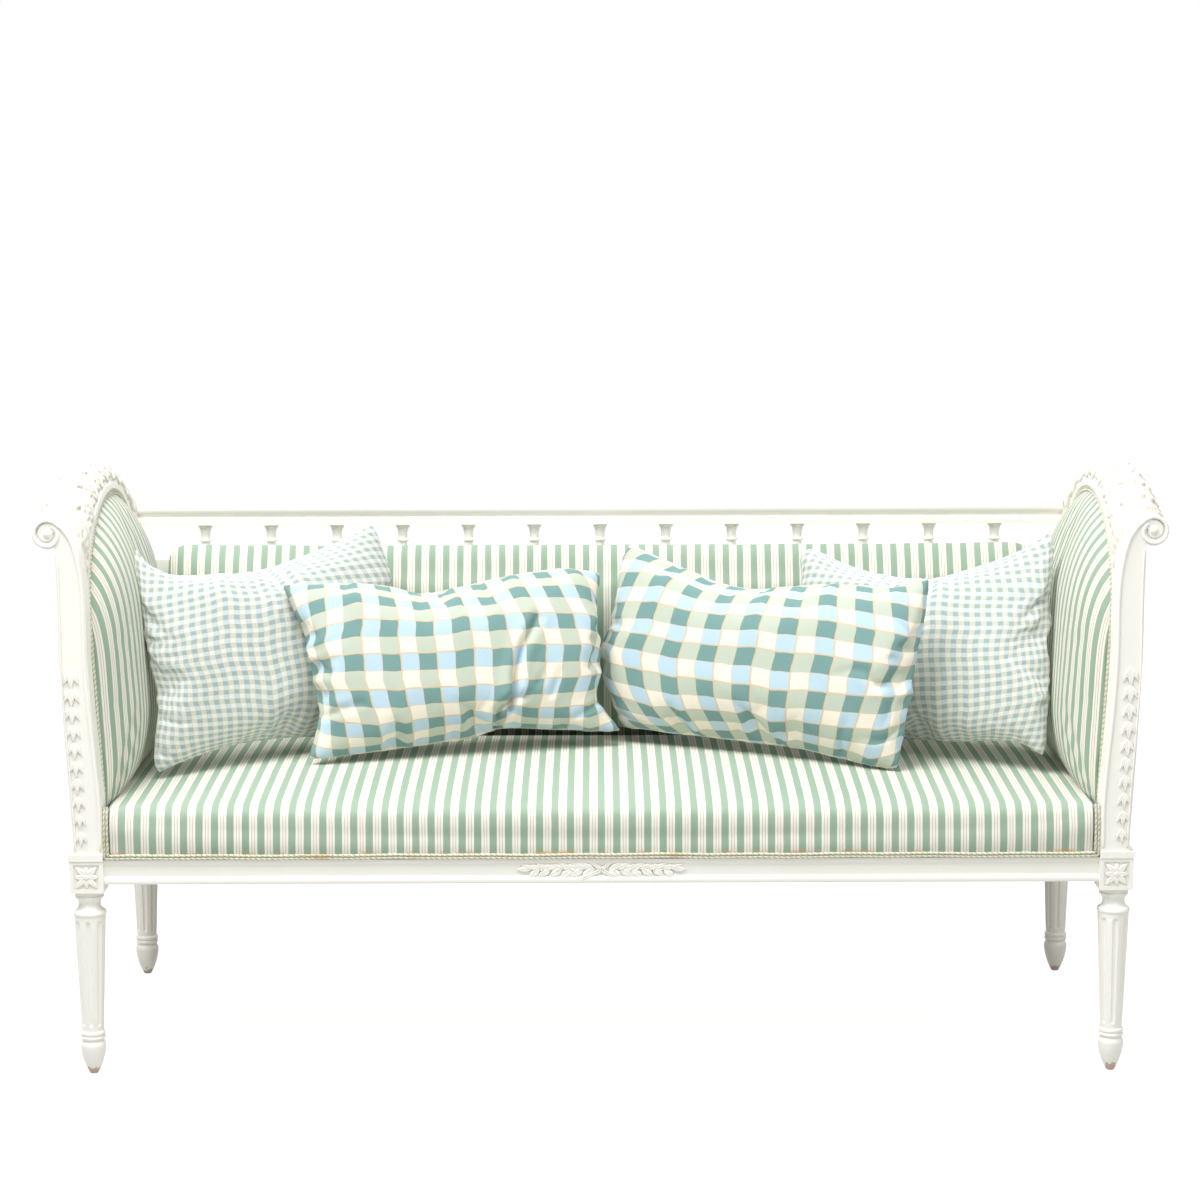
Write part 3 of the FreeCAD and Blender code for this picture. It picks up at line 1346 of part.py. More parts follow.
def main():
    for end in ENDS:
        for side in SIDES:
            make_leg(end, side)
            make_post(end, side)
        make_cross_seat_rail(end)
    for side in SIDES:
        make_side_seat_rail(side)
        make_crest(side)
        make_arm_rail(side)
        make_arm_upholstery(side)
    make_corner_blocks()
    make_back_rails()
    make_spindles()
    make_back_frame()
    make_back_upholstery()
    seat = make_seat()
    make_ornaments()
    for label in PILLOWS:
        make_pillow(label, seat)
    doc.recompute()
    for thing in doc.Objects:
        if "Invalid" in thing.State or "Error" in thing.State:
            raise RuntimeError("%s failed: %s" % (thing.Label, thing.State))
    for label, thing in PARTS.items():
        if thing.Shape.isNull() or not thing.Shape.isValid() or not thing.Shape.Solids:
            raise RuntimeError("%s has no valid solid" % label)
        if label not in GROUPS and len(thing.Shape.Solids) != 1:
            raise RuntimeError("%s is not one solid" % label)
    os.makedirs("parts", exist_ok=True)
    for label, thing in PARTS.items():
        thing.Shape.exportStep(os.path.join("parts", label + ".step"))
    print(len(PARTS), "sub-parts written")


main()
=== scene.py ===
import json
import math

import bmesh
import bpy
import numpy as np
from bpy.props import FloatProperty, FloatVectorProperty, IntProperty, PointerProperty
from mathutils import Matrix, Vector


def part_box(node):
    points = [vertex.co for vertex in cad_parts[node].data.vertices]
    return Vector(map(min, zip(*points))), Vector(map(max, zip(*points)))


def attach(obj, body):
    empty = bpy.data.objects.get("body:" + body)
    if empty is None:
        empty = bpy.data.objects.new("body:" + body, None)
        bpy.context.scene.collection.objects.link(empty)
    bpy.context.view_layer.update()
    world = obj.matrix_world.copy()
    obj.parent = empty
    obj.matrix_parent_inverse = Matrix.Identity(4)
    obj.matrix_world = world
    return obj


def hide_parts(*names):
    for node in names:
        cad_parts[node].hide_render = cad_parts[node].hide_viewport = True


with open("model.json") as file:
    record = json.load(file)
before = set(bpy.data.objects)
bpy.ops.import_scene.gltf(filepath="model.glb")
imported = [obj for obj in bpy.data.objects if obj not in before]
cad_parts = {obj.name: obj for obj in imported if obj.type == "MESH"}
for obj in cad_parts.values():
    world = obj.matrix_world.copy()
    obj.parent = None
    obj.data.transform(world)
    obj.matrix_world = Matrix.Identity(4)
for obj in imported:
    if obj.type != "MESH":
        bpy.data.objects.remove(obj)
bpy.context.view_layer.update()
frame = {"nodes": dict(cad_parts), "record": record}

bl_info = {
    "name": "Painted banquette sofa",
    "version": (1, 0, 0),
    "blender": (4, 5, 0),
    "location": "3D View > Sidebar > Banquette",
    "description": "Paints, carves and upholsters a banquette sofa around its packed frame",
    "category": "Object",
}

FRAME_BODY = "sofa_frame"
SIDES = {"left": -1, "right": 1}
MM = 0.001

# The photograph's frame and the camera that fits it, in metres, degrees and pixels
IMAGE = 1200
FOCAL = 3154
EYE = np.array((-0.007, -5.432, 1.538))
LOOK_DOWN = 8.26
TURN = -0.065
ROLL = -0.178
SENSOR = 36

# Sizes of the frame that the looks follow, in millimetres
POST_Y = 300
POST_FACE = 346
WAIST_X = 840
WAIST_OUT = 886
HEAD_Z = 863
VOLUTE = (899, 911)
VOLUTE_R = 25
CREST_FOOT = 770
CREST_RISE = 58
CREST_DRAW = 22
PANEL_BASE = (830, 460)
PANEL_LEAN = math.radians(3.07)
PANEL_SPRING = 280
PANEL_RISE = 205
OPENING_REACH = 46
SEAT_HALF = 819
SEAT_EDGE = 452
SEAT_CROWN = 15
SEAT_FRONT = -328
SEAT_BACK = 300
BACK_HALF = 793
BACK_FOOT = 466
BACK_TOP = 817
BACK_CORNER = 42
BACK_PLANE = 303
PANEL_BULGE = 40
PAD_RIM = -4.2
RAIL_SHOW_TOP = 368
BLOCK_TOP = 378
OUTER_COVER_X = 869
OUTER_COVER_LEAN = math.radians(1.4)
BACK_COVER = (781, 339, 779)
DUST_COVER = (860, 330, 326.8)
LEG_NOTCH = (821, 291)
BLOCK_CENTRE = (850, 340)
RAIL_FACE = -340.6
GARLAND_Z = 350
CORD_OFFSETS = (2.5, 7.4)
CORD_Y = -345.6


# Sizes and colours a user would change

def colour_property(name, description, default):
    return FloatVectorProperty(name=name, description=description, default=default,
                               subtype="COLOR_GAMMA", min=0, max=1)


def length_property(name, description, default):
    return FloatProperty(name=name, description=description, default=default, min=0, unit="LENGTH")


class BANQUETTE_PG_colours(bpy.types.PropertyGroup):
    """Colours of the paint, the cloths and the trim."""

    paint: colour_property("Paint", "Cream white paint on the frame", (0.985, 0.98, 0.948))
    # One colour for the real glaze in the carving and for painted shade in hollows and crevices
    glaze_and_shade_colour: colour_property("Glaze", "Warm glaze left in the carving's hollows", (0.74, 0.66, 0.50))
    undercoat: colour_property("Undercoat", "What shows where the feet are chipped", (0.80, 0.70, 0.63))
    stripe_green: colour_property("Stripe green", "Wide stripe of the cover cloth", (0.572, 0.67, 0.58))
    stripe_white: colour_property("Stripe white", "Light ground of the cover cloth", (0.926, 0.918, 0.885))
    stripe_cream: colour_property("Stripe cream", "Middle of the light band", (0.918, 0.905, 0.865))
    stripe_tan: colour_property("Stripe tan", "Thin lines in the light band", (0.76, 0.70, 0.59))
    check_teal: colour_property("Check teal", "Where blue and green threads cross", (0.465, 0.615, 0.605))
    check_sage: colour_property("Check sage", "Where green and cream threads cross", (0.77, 0.808, 0.745))
    check_blue: colour_property("Check blue", "Where blue and cream threads cross", (0.745, 0.845, 0.905))
    check_cream: colour_property("Check cream", "Cream squares of the checks", (0.962, 0.93, 0.87))
    check_tan: colour_property("Check tan", "Thin lines that border the checks", (0.87, 0.755, 0.62))
    gimp_green: colour_property("Gimp green", "Green ply of the cord trim", (0.79, 0.80, 0.68))
    gimp_cream: colour_property("Gimp cream", "Cream ply of the cord trim", (0.93, 0.92, 0.85))


class BANQUETTE_PG_sizes(bpy.types.PropertyGroup):
    """Repeats of the patterns, the trim and the carving."""

    stripe_repeat: length_property("Stripe repeat", "Width of one green stripe and one light band", 0.0255)
    large_check: length_property("Large check", "Width of one pair of large squares", 0.0575)
    small_check: length_property("Small check", "Width of one pair of small squares", 0.0166)
    check_height: FloatProperty(name="Check height", description="Height of a square as a share of its width",
                                default=0.85, min=0.3, max=3)
    gimp_cord: length_property("Gimp cord", "Radius of one cord of the trim", 0.0027)
    gimp_lay: length_property("Gimp lay", "Length of one full twist of a cord", 0.009)
    carving_depth: length_property("Carving depth", "Relief of the leaves on the crests", 0.0066)
    leaf_pitch: length_property("Leaf pitch", "Distance between leaves along a crest", 0.062)
    husks: IntProperty(name="Husks", description="Husks in the drop on each front post",
                       default=10, min=1, max=20)


def colours():
    return bpy.context.scene.banquette_colours


def sizes():
    return bpy.context.scene.banquette_sizes


def linear(colour, share=1.0):
    """A display colour as the linear colour with alpha that a shader takes."""
    def channel(value):
        value = value * share
        return value / 12.92 if value <= 0.04045 else ((value + 0.055) / 1.055) ** 2.4
    return tuple(channel(value) for value in colour) + (1.0,)


# The camera's lines of sight

def camera_axes():
    """Right, up and forward of the camera."""
    tilt, turn, roll = (math.radians(value) for value in (LOOK_DOWN, TURN, ROLL))
    forward = Vector((0, math.cos(tilt), -math.sin(tilt)))
    up = Vector((0, math.sin(tilt), math.cos(tilt)))
    right = Vector((1, 0, 0))
    about_z = Matrix.Rotation(turn, 3, "Z")
    right, up, forward = about_z @ right, about_z @ up, about_z @ forward
    level_right, level_up = right.copy(), up.copy()
    right = level_right * math.cos(roll) + level_up * math.sin(roll)
    up = level_up * math.cos(roll) - level_right * math.sin(roll)
    return right, up, forward


def sight(pixel):
    """The direction in which the camera sees a pixel."""
    right, up, forward = (np.array(axis) for axis in camera_axes())
    across = (pixel[0] - IMAGE / 2) / FOCAL
    down = (pixel[1] - IMAGE / 2) / FOCAL
    return forward + right * across - up * down


# Making meshes

def metres(*lengths):
    """Millimetres as a tuple in metres."""
    return tuple(length * MM for length in lengths)


def new_piece(name, vertices, faces, uv=None, smooth=True, closed=True):
    """A mesh object, whose faces are turned outwards where it is closed."""
    mesh = bpy.data.meshes.new(name)
    mesh.from_pydata([tuple(v) for v in vertices], [], faces)
    if uv is not None:
        layer = mesh.uv_layers.new(name="cloth")
        loops = np.empty(len(mesh.loops), dtype=np.int32)
        mesh.loops.foreach_get("vertex_index", loops)
        layer.data.foreach_set("uv", np.asarray(uv, dtype=np.float32)[loops].ravel())
    mesh.validate()
    mesh.update()
    piece = bpy.data.objects.new(name, mesh)
    bpy.context.scene.collection.objects.link(piece)
    if smooth:
        mesh.shade_smooth()
    if closed:
        point_outwards(mesh)
    return piece


def point_outwards(mesh):
    work = bmesh.new()
    work.from_mesh(mesh)
    bmesh.ops.recalc_face_normals(work, faces=work.faces)
    if work.calc_volume(signed=True) < 0:
        bmesh.ops.reverse_faces(work, faces=work.faces)
    work.to_mesh(mesh)
    work.free()


def grid_faces(rows, columns, closed_columns=False, start=0):
    """Quads over a grid of points counted row by row."""
    faces = []
    for row in range(rows - 1):
        here, above = start + row * columns, start + (row + 1) * columns
        for column in range(columns if closed_columns else columns - 1):
            after = (column + 1) % columns
            faces.append((here + column, here + after, above + after, above + column))
    return faces


def tube_faces(rings, sides, start=0):
    """Quads round a tube of rings of points, and a face over each end."""
    last = start + (rings - 1) * sides
    ends = [tuple(range(start, start + sides)), tuple(range(last, last + sides))]
    return grid_faces(rings, sides, True, start) + ends


def coordinates(mesh):
    points = np.empty(len(mesh.vertices) * 3)
    mesh.vertices.foreach_get("co", points)
    return points.reshape(-1, 3)


def move_to(mesh, points):
    mesh.vertices.foreach_set("co", np.asarray(points, dtype=np.float32).ravel())
    mesh.update()


def resample(points, count):
    """Evenly spaced points along a line of points."""
    points = np.asarray(points, dtype=float)
    steps = np.linalg.norm(np.diff(points, axis=0), axis=1)
    along = np.concatenate([[0], np.cumsum(steps)])
    wanted = np.linspace(0, along[-1], count)
    return np.stack([np.interp(wanted, along, points[:, axis]) for axis in range(points.shape[1])], axis=1)


def smooth_line(points, count):
    """A smooth line through hand-set points, evenly resampled."""
    points = np.asarray(points, dtype=float)
    padded = np.vstack([2 * points[0] - points[1], points, 2 * points[-1] - points[-2]])
    fine = []
    for index in range(len(points) - 1):
        before, start, end, after = padded[index:index + 4]
        for share in np.linspace(0, 1, 12, endpoint=False):
            fine.append(0.5 * (2 * start + (end - before) * share
                               + (2 * before - 5 * start + 4 * end - after) * share ** 2
                               + (3 * start - before - 3 * end + after) * share ** 3))
    fine.append(points[-1])
    return resample(fine, count)


def arc(start, via, end, count):
    """Points on the circle through three points of a plane."""
    (ax, ay), (bx, by), (cx, cy) = start, via, end
    d = 2 * (ax * (by - cy) + bx * (cy - ay) + cx * (ay - by))
    a, b, c = ax ** 2 + ay ** 2, bx ** 2 + by ** 2, cx ** 2 + cy ** 2
    ux = (a * (by - cy) + b * (cy - ay) + c * (ay - by)) / d
    uy = (a * (cx - bx) + b * (ax - cx) + c * (bx - ax)) / d
    radius = math.hypot(ax - ux, ay - uy)
    first = math.atan2(ay - uy, ax - ux)
    turn = (math.atan2(cy - uy, cx - ux) - first) % (2 * math.pi)
    middle = (math.atan2(by - uy, bx - ux) - first) % (2 * math.pi)
    if middle > turn:
        turn -= 2 * math.pi
    angles = first + turn * np.linspace(0, 1, count)
    return np.stack([ux + radius * np.cos(angles), uy + radius * np.sin(angles)], axis=1)


def sweep(name, lines, radius, sides=10, flatten=1.0):
    """Round mouldings along lines that lie in upright planes, each closed with a rounded tip."""
    vertices, faces = [], []
    for line in lines:
        line = np.asarray(line, dtype=float)
        tangent = np.gradient(line, axis=0)
        tangent /= np.linalg.norm(tangent, axis=1)[:, None]
        across = np.cross(tangent, (0, 1, 0))
        across /= np.linalg.norm(across, axis=1)[:, None]
        start = len(vertices)
        for index, point in enumerate(line):
            reach = min(index, len(line) - 1 - index) + 0.6
            size = radius * min(1.0, math.sqrt(reach / 3))
            for side in range(sides):
                angle = 2 * math.pi * side / sides
                vertices.append(point + across[index] * size * math.cos(angle)
                                + np.array((0, 1, 0)) * size * flatten * math.sin(angle))
        faces += tube_faces(len(line), sides, start)
    return new_piece(name, vertices, faces)


def finish_piece(piece, material, body=FRAME_BODY, replaces=(), subdivide=0):
    """Give a finished piece its material and body, and let it stand for its CAD nodes."""
    piece.data.materials.clear()
    piece.data.materials.append(material)
    if subdivide:
        finer = piece.modifiers.new("finer", "SUBSURF")
        finer.levels = subdivide
        finer.render_levels = subdivide
    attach(piece, body)
    if replaces:
        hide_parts(*replaces)
    return piece


def settle(piece, held, pressure, frames, cap, tension=12.0, slack=12.0, bending=0.6, shrink=0.0):
    """Fill a sewn cover with Blender's cloth and air pressure; held points stay, others move up to cap."""
    before = coordinates(piece.data)
    if held:
        group = piece.vertex_groups.new(name="tacked")
        group.add([int(index) for index in held], 1.0, "REPLACE")
    cloth = piece.modifiers.new("filling", "CLOTH")
    settings = cloth.settings
    settings.quality = 5
    settings.mass = 0.25
    settings.tension_stiffness = tension
    settings.compression_stiffness = slack
    settings.shear_stiffness = tension / 3
    settings.bending_stiffness = bending
    settings.use_pressure = True
    settings.uniform_pressure_force = pressure
    settings.shrink_min = shrink
    settings.effector_weights.gravity = 0
    if held:
        settings.vertex_group_mass = "tacked"
    cloth.point_cache.frame_start = 1
    cloth.point_cache.frame_end = frames
    scene = bpy.context.scene
    for step in range(1, frames + 1):
        scene.frame_set(step)
    shown = piece.evaluated_get(bpy.context.evaluated_depsgraph_get())
    after = coordinates(shown.data)
    piece.modifiers.remove(cloth)
    if held:
        piece.vertex_groups.remove(piece.vertex_groups["tacked"])
    scene.frame_set(1)
    if not np.isfinite(after).all():
        raise RuntimeError("the cloth of %s broke" % piece.name)
    move = after - before
    length = np.linalg.norm(move, axis=1)
    if cap:
        move *= np.minimum(1.0, cap / np.maximum(length, 1e-9))[:, None]
    move_to(piece.data, before + move)


def stuff(name, vertices, faces, uv, held, pressure, cap, cloth, replaces):
    """A cover tacked at its held points and puffed out by the stuffing, by up to cap millimetres."""
    piece = new_piece(name, vertices, faces, uv)
    settle(piece, held, pressure, 16, cap * MM)
    finish_piece(piece, cloth, replaces=replaces, subdivide=1)


# Wiring node trees

class Web:
    """A node tree that is being wired."""

    def __init__(self, tree):
        self.tree = tree

    def node(self, kind, inputs=None, **settings):
        made = self.tree.nodes.new(kind)
        for key, value in settings.items():
            setattr(made, key, value)
        for key, value in (inputs or {}).items():
            self.set(made.inputs[key], value)
        return made

    def set(self, socket, value):
        if isinstance(value, bpy.types.NodeSocket):
            self.tree.links.new(value, socket)
        else:
            socket.default_value = value

    def math(self, operation, *values):
        made = self.tree.nodes.new("ShaderNodeMath")
        made.operation = operation
        for socket, value in zip(made.inputs, values):
            self.set(socket, value)
        return made.outputs[0]

    def blend(self, share, low, high):
        made = self.node("ShaderNodeMix", data_type="RGBA")
        self.set(made.inputs[0], share)
        self.set(made.inputs[6], low)
        self.set(made.inputs[7], high)
        return made.outputs[2]

    def noise(self, where, scale, detail=2.0, rough=0.5):
        made = self.node("ShaderNodeTexNoise", {"Vector": where, "Scale": scale, "Detail": detail,
                                                "Roughness": rough})
        return made.outputs["Fac"]

    def stretch(self, where, scale):
        return self.node("ShaderNodeMapping", {"Vector": where, "Scale": scale}).outputs[0]

    def span(self, value, low, high, new_low=0.0, new_high=1.0):
        made = self.node("ShaderNodeMapRange", {"Value": value, "From Min": low, "From Max": high,
                                                "To Min": new_low, "To Max": new_high})
        return made.outputs[0]

    def bump(self, height, strength, distance):
        return self.node("ShaderNodeBump", {"Height": height, "Strength": strength,
                                            "Distance": distance}).outputs[0]


def new_material(name):
    material = bpy.data.materials.new(name)
    material.use_nodes = True
    material.node_tree.nodes.clear()
    return material, Web(material.node_tree)


def surface(web, colour, rough, normal, sheen=0.0, metal=0.0):
    """The surface shader at the end of a material's tree."""
    shader = web.node("ShaderNodeBsdfPrincipled", {"Base Color": colour, "Roughness": rough,
                                                   "Normal": normal})
    shader.inputs["Metallic"].default_value = metal
    shader.inputs["Sheen Weight"].default_value = sheen
    shader.inputs["Sheen Roughness"].default_value = 0.5
    shader.inputs["Specular IOR Level"].default_value = 0.35 if sheen else 0.5
    out = web.node("ShaderNodeOutputMaterial")
    web.tree.links.new(shader.outputs[0], out.inputs["Surface"])


def object_place(web):
    return web.node("ShaderNodeTexCoord").outputs["Object"]


# Finishes of the wood

def paint_material(name, glaze_and_shade=0.3, carved=0.0):
    """Brushed cream paint with glaze and painted shade in its hollows and along carved edges, and chips at
    the feet.
    """
    material, web = new_material(name)
    where = object_place(web)
    tone = colours()
    cloudy = web.noise(where, 5.0, 3.0)
    colour = web.blend(web.span(cloudy, 0.35, 0.7, 0.0, 0.3), linear(tone.paint), linear(tone.paint, 0.965))
    # Painted shade: ambient occlusion darkens the paint towards the glaze colour in crevices and hollows,
    # where real glaze also lies
    hollow = web.node("ShaderNodeAmbientOcclusion", {"Distance": 0.012}, samples=6)
    glaze_and_shade_share = web.span(hollow.outputs["AO"], 0.2, 0.85, glaze_and_shade, 0.0)
    patchy = web.span(web.noise(where, 38.0, 3.0), 0.3, 0.7, 0.55, 1.0)
    if carved:
        # Ochre glaze strokes along the carved edges, which also paint shade on the leaves' steep sides and
        # veins
        edge = web.node("ShaderNodeAttribute", attribute_name="carved_edge_glaze_and_shade").outputs["Fac"]
        glaze_and_shade_share = web.math("MAXIMUM", glaze_and_shade_share, web.math("MULTIPLY", edge, carved))
        colour = web.blend(carved * 0.5, colour, linear(tone.paint, 0.93))
    # The glaze and painted shade colour is a little darker on the carving
    shade = linear(tone.glaze_and_shade_colour, 1 - 0.14 * carved)
    colour = web.blend(web.math("MULTIPLY", glaze_and_shade_share, patchy), colour, shade)
    height = web.node("ShaderNodeSeparateXYZ", {"Vector": where}).outputs["Z"]
    low = web.span(height, 0.004, 0.034, 0.62, 0.0)
    chip = web.math("GREATER_THAN", web.math("ADD", web.noise(where, 95.0, 4.0, 0.65), low), 0.99)
    colour = web.blend(chip, colour, linear(tone.undercoat))
    brush = web.noise(web.stretch(where, (1.0, 1.0, 0.2)), 420.0, 2.0)
    grainy = web.noise(where, 60.0, 3.0)
    relief = web.math("ADD", web.math("MULTIPLY", brush, 0.4), grainy)
    relief = web.math("SUBTRACT", relief, web.math("MULTIPLY", chip, 0.8))
    rough = web.span(grainy, 0.3, 0.7, 0.36, 0.5)
    surface(web, colour, rough, web.bump(relief, 0.18, 0.0012))
    return material


def bare_wood_material():
    material, web = new_material("raw_beech")
    where = web.stretch(object_place(web), (6.0, 40.0, 40.0))
    grain = web.noise(where, 3.0, 5.0, 0.6)
    colour = web.blend(grain, linear((0.74, 0.6, 0.44)), linear((0.58, 0.43, 0.28)))
    surface(web, colour, 0.7, web.bump(grain, 0.2, 0.001))
    return material


def steel_material():
    material, web = new_material("screw_steel")
    marks = web.noise(object_place(web), 900.0, 2.0)
    surface(web, web.blend(marks, linear((0.62, 0.62, 0.61)), linear((0.48, 0.47, 0.46))), 0.35,
            web.bump(marks, 0.1, 0.0004), metal=1.0)
    return material


# Cloths: light threads, dark threads and threads to the metre of the lining below

LINING = ((0.86, 0.82, 0.72), (0.7, 0.65, 0.54), 700.0)


def coarse_cloth_material(name, light, dark, threads):
    """Plain woven cloth, seen from below or through gaps, on Object coordinates."""
    material, web = new_material(name)
    where = object_place(web)
    across = web.noise(web.stretch(where, (threads, threads * 0.06, threads * 0.06)), 1.0, 2.0)
    along = web.noise(web.stretch(where, (threads * 0.06, threads, threads)), 1.0, 2.0)
    weave = web.math("ADD", across, along)
    colour = web.blend(web.span(weave, 0.7, 1.3), linear(dark), linear(light))
    surface(web, colour, 0.92, web.bump(weave, 0.5, 0.0015), sheen=0.1)
    return material


def cloth_place(web):
    """Metres across and along the flat cloth."""
    layer = web.node("ShaderNodeUVMap", uv_map="cloth").outputs[0]
    split = web.node("ShaderNodeSeparateXYZ", {"Vector": layer})
    return layer, split.outputs["X"], split.outputs["Y"]


def weave_of(web, layer):
    """Threads both ways and their slubs."""
    warp = web.noise(web.stretch(layer, (1500.0, 90.0, 1.0)), 1.0, 2.0)
    weft = web.noise(web.stretch(layer, (90.0, 1500.0, 1.0)), 1.0, 2.0)
    return web.math("ADD", warp, weft)


def wander(web, layer, amount):
    """A slight waver of the threads."""
    return web.math("MULTIPLY", web.math("SUBTRACT", web.noise(layer, 22.0, 2.0), 0.5), amount)


def band(web, phase, low, high):
    """One where the phase lies between two shares of the repeat."""
    return web.math("MULTIPLY", web.math("GREATER_THAN", phase, low), web.math("LESS_THAN", phase, high))


def stripes(web, across):
    """Colour of the striped cloth by the distance across it."""
    tone = colours()
    phase = web.math("FRACT", web.math("ADD", web.math("DIVIDE", across, sizes().stripe_repeat), 100.24))
    colour = web.blend(band(web, phase, 0.0, 0.47), linear(tone.stripe_white), linear(tone.stripe_green))
    colour = web.blend(band(web, phase, 0.65, 0.83), colour, linear(tone.stripe_cream))
    for start in (0.625, 0.81):
        colour = web.blend(band(web, phase, start, start + 0.04), colour, linear(tone.stripe_tan))
    return colour


def stripe_material():
    """Green stripes, with two fine tan lines in the light band between them."""
    material, web = new_material("striped_cotton")
    tone = colours()
    layer, across = cloth_place(web)[:2]
    shifted = web.math("ADD", across, wander(web, layer, 0.0012))
    colour = stripes(web, shifted)
    weave = weave_of(web, layer)
    colour = web.blend(web.span(weave, 0.75, 1.25, 0.07, 0.0), colour, linear((0.5, 0.52, 0.45)))
    faded = web.span(web.noise(layer, 3.0, 3.0), 0.35, 0.75, 0.0, 0.12)
    colour = web.blend(faded, colour, linear(tone.stripe_white))
    # Glue has browned the cloth here and there just above the trim
    place = web.node("ShaderNodeSeparateXYZ", {"Vector": object_place(web)})
    low = web.span(place.outputs["Z"], 0.3785, 0.3835, 1.0, 0.0)
    patch = web.span(web.noise(web.stretch(layer, (16.0, 1.0, 1.0)), 1.0, 3.0), 0.52, 0.62, 0.0, 0.75)
    front = web.math("LESS_THAN", place.outputs["Y"], -0.33)
    glue = web.math("MULTIPLY", web.math("MULTIPLY", low, patch), front)
    colour = web.blend(glue, colour, linear((0.80, 0.62, 0.36)))
    surface(web, colour, 0.88, web.bump(weave, 0.35, 0.0006), sheen=0.12)
    return material


def check_material(name, repeat, washed):
    """Woven checks: blue bands up the cloth and green ones across it, bordered by fine tan lines."""
    material, web = new_material(name)
    tone = colours()
    layer, across, along = cloth_place(web)
    phases = []
    for value, pitch in ((across, repeat), (along, repeat * sizes().check_height)):
        shifted = web.math("ADD", value, wander(web, layer, 0.0015))
        phases.append(web.math("FRACT", web.math("ADD", web.math("DIVIDE", shifted, pitch), 100.25)))
    blue = band(web, phases[0], 0.0, 0.5)
    green = band(web, phases[1], 0.0, 0.5)
    plain = web.blend(green, linear(tone.check_cream), linear(tone.check_sage))
    crossed = web.blend(green, linear(tone.check_blue), linear(tone.check_teal))
    colour = web.blend(blue, plain, crossed)
    for phase in phases:
        for start in (0.485, 0.985):
            line = web.math("MULTIPLY", band(web, phase, start, start + 0.045), 0.85)
            colour = web.blend(line, colour, linear(tone.check_tan))
    colour = web.blend(washed, colour, linear((0.94, 0.945, 0.93)))
    weave = weave_of(web, layer)
    colour = web.blend(web.span(weave, 0.75, 1.25, 0.08, 0.0), colour, linear((0.5, 0.5, 0.44)))
    surface(web, colour, 0.9, web.bump(weave, 0.4, 0.0006), sheen=0.12)
    return material


def gimp_material():
    """Cord trim whose plies are green and cream."""
    material, web = new_material("cord_trim")
    tone = colours()
    ply = web.node("ShaderNodeAttribute", attribute_name="ply").outputs["Fac"]
    colour = web.blend(web.math("GREATER_THAN", ply, 0.5), linear(tone.gimp_cream), linear(tone.gimp_green))
    where = object_place(web)
    worn = web.span(web.noise(where, 14.0, 3.0), 0.62, 0.72, 0.0, 0.55)
    colour = web.blend(worn, colour, linear((0.83, 0.72, 0.52)))
    fibres = web.noise(where, 1400.0, 2.0)
    surface(web, colour, 0.85, web.bump(fibres, 0.3, 0.0005), sheen=0.1)
    return material


# Geometry Nodes that lay cords and set out leaves

def new_tree(name, inputs):
    """A geometry tree with its named inputs."""
    tree = bpy.data.node_groups.new(name, "GeometryNodeTree")
    tree.interface.new_socket("Geometry", in_out="INPUT", socket_type="NodeSocketGeometry")
    for label, kind, default in inputs:
        made = tree.interface.new_socket(label, in_out="INPUT", socket_type=kind)
        if default is not None:
            made.default_value = default
    tree.interface.new_socket("Geometry", in_out="OUTPUT", socket_type="NodeSocketGeometry")
    web = Web(tree)
    return tree, web, web.node("NodeGroupInput").outputs


def end_tree(web, geometry, given):
    """Realize the instances and give the result its material."""
    real = web.node("GeometryNodeRealizeInstances", {"Geometry": geometry}).outputs[0]
    coloured = web.node("GeometryNodeSetMaterial", {"Geometry": real, "Material": given["Material"]})
    smooth = web.node("GeometryNodeSetShadeSmooth", {"Geometry": coloured.outputs[0]})
    out = web.node("NodeGroupOutput")
    web.tree.links.new(smooth.outputs[0], out.inputs[0])


def cord_tree():
    """Twists a three-ply cord along every line of a mesh."""
    tree, web, given = new_tree("twist_cords", [
        ("Cord radius", "NodeSocketFloat", sizes().gimp_cord),
        ("Lay", "NodeSocketFloat", sizes().gimp_lay),
        ("Step", "NodeSocketFloat", 0.0022),
        ("Profile points", "NodeSocketInt", 15),
        ("Material", "NodeSocketMaterial", None)])
    line = web.node("GeometryNodeMeshToCurve", {"Mesh": given["Geometry"]}).outputs[0]
    even = web.node("GeometryNodeResampleCurve", {"Curve": line, "Length": given["Step"]}, mode="LENGTH")
    length = web.node("GeometryNodeSplineParameter").outputs["Length"]
    tilt = web.math("MULTIPLY", web.math("DIVIDE", length, given["Lay"]), 2 * math.pi)
    turned = web.node("GeometryNodeSetCurveTilt", {"Curve": even.outputs[0], "Tilt": tilt}).outputs[0]
    ring = web.node("GeometryNodeCurvePrimitiveCircle",
                    {"Resolution": given["Profile points"], "Radius": given["Cord radius"]}).outputs[0]
    index = web.node("GeometryNodeInputIndex").outputs[0]
    angle = web.math("DIVIDE", web.math("MULTIPLY", index, 2 * math.pi), given["Profile points"])
    lobe = web.math("COSINE", web.math("MULTIPLY", angle, 3.0))
    lobe = web.math("ADD", web.math("MULTIPLY", lobe, 0.2), 0.9)
    spot = web.node("GeometryNodeInputPosition").outputs[0]
    scaled = web.node("ShaderNodeVectorMath", {0: spot, "Scale": lobe}, operation="SCALE").outputs[0]
    ring = web.node("GeometryNodeSetPosition", {"Geometry": ring, "Position": scaled}).outputs[0]
    third = web.math("FLOOR", web.math("ADD", web.math("MULTIPLY", angle, 3 / (2 * math.pi)), 0.5))
    ply = web.math("COMPARE", web.math("MODULO", third, 3.0), 1.0, 0.1)
    ring = web.node("GeometryNodeStoreNamedAttribute", {"Geometry": ring, "Name": "ply", "Value": ply},
                    data_type="FLOAT", domain="POINT").outputs[0]
    cord = web.node("GeometryNodeCurveToMesh",
                    {"Curve": turned, "Profile Curve": ring, "Fill Caps": True}).outputs[0]
    end_tree(web, cord, given)
    return tree


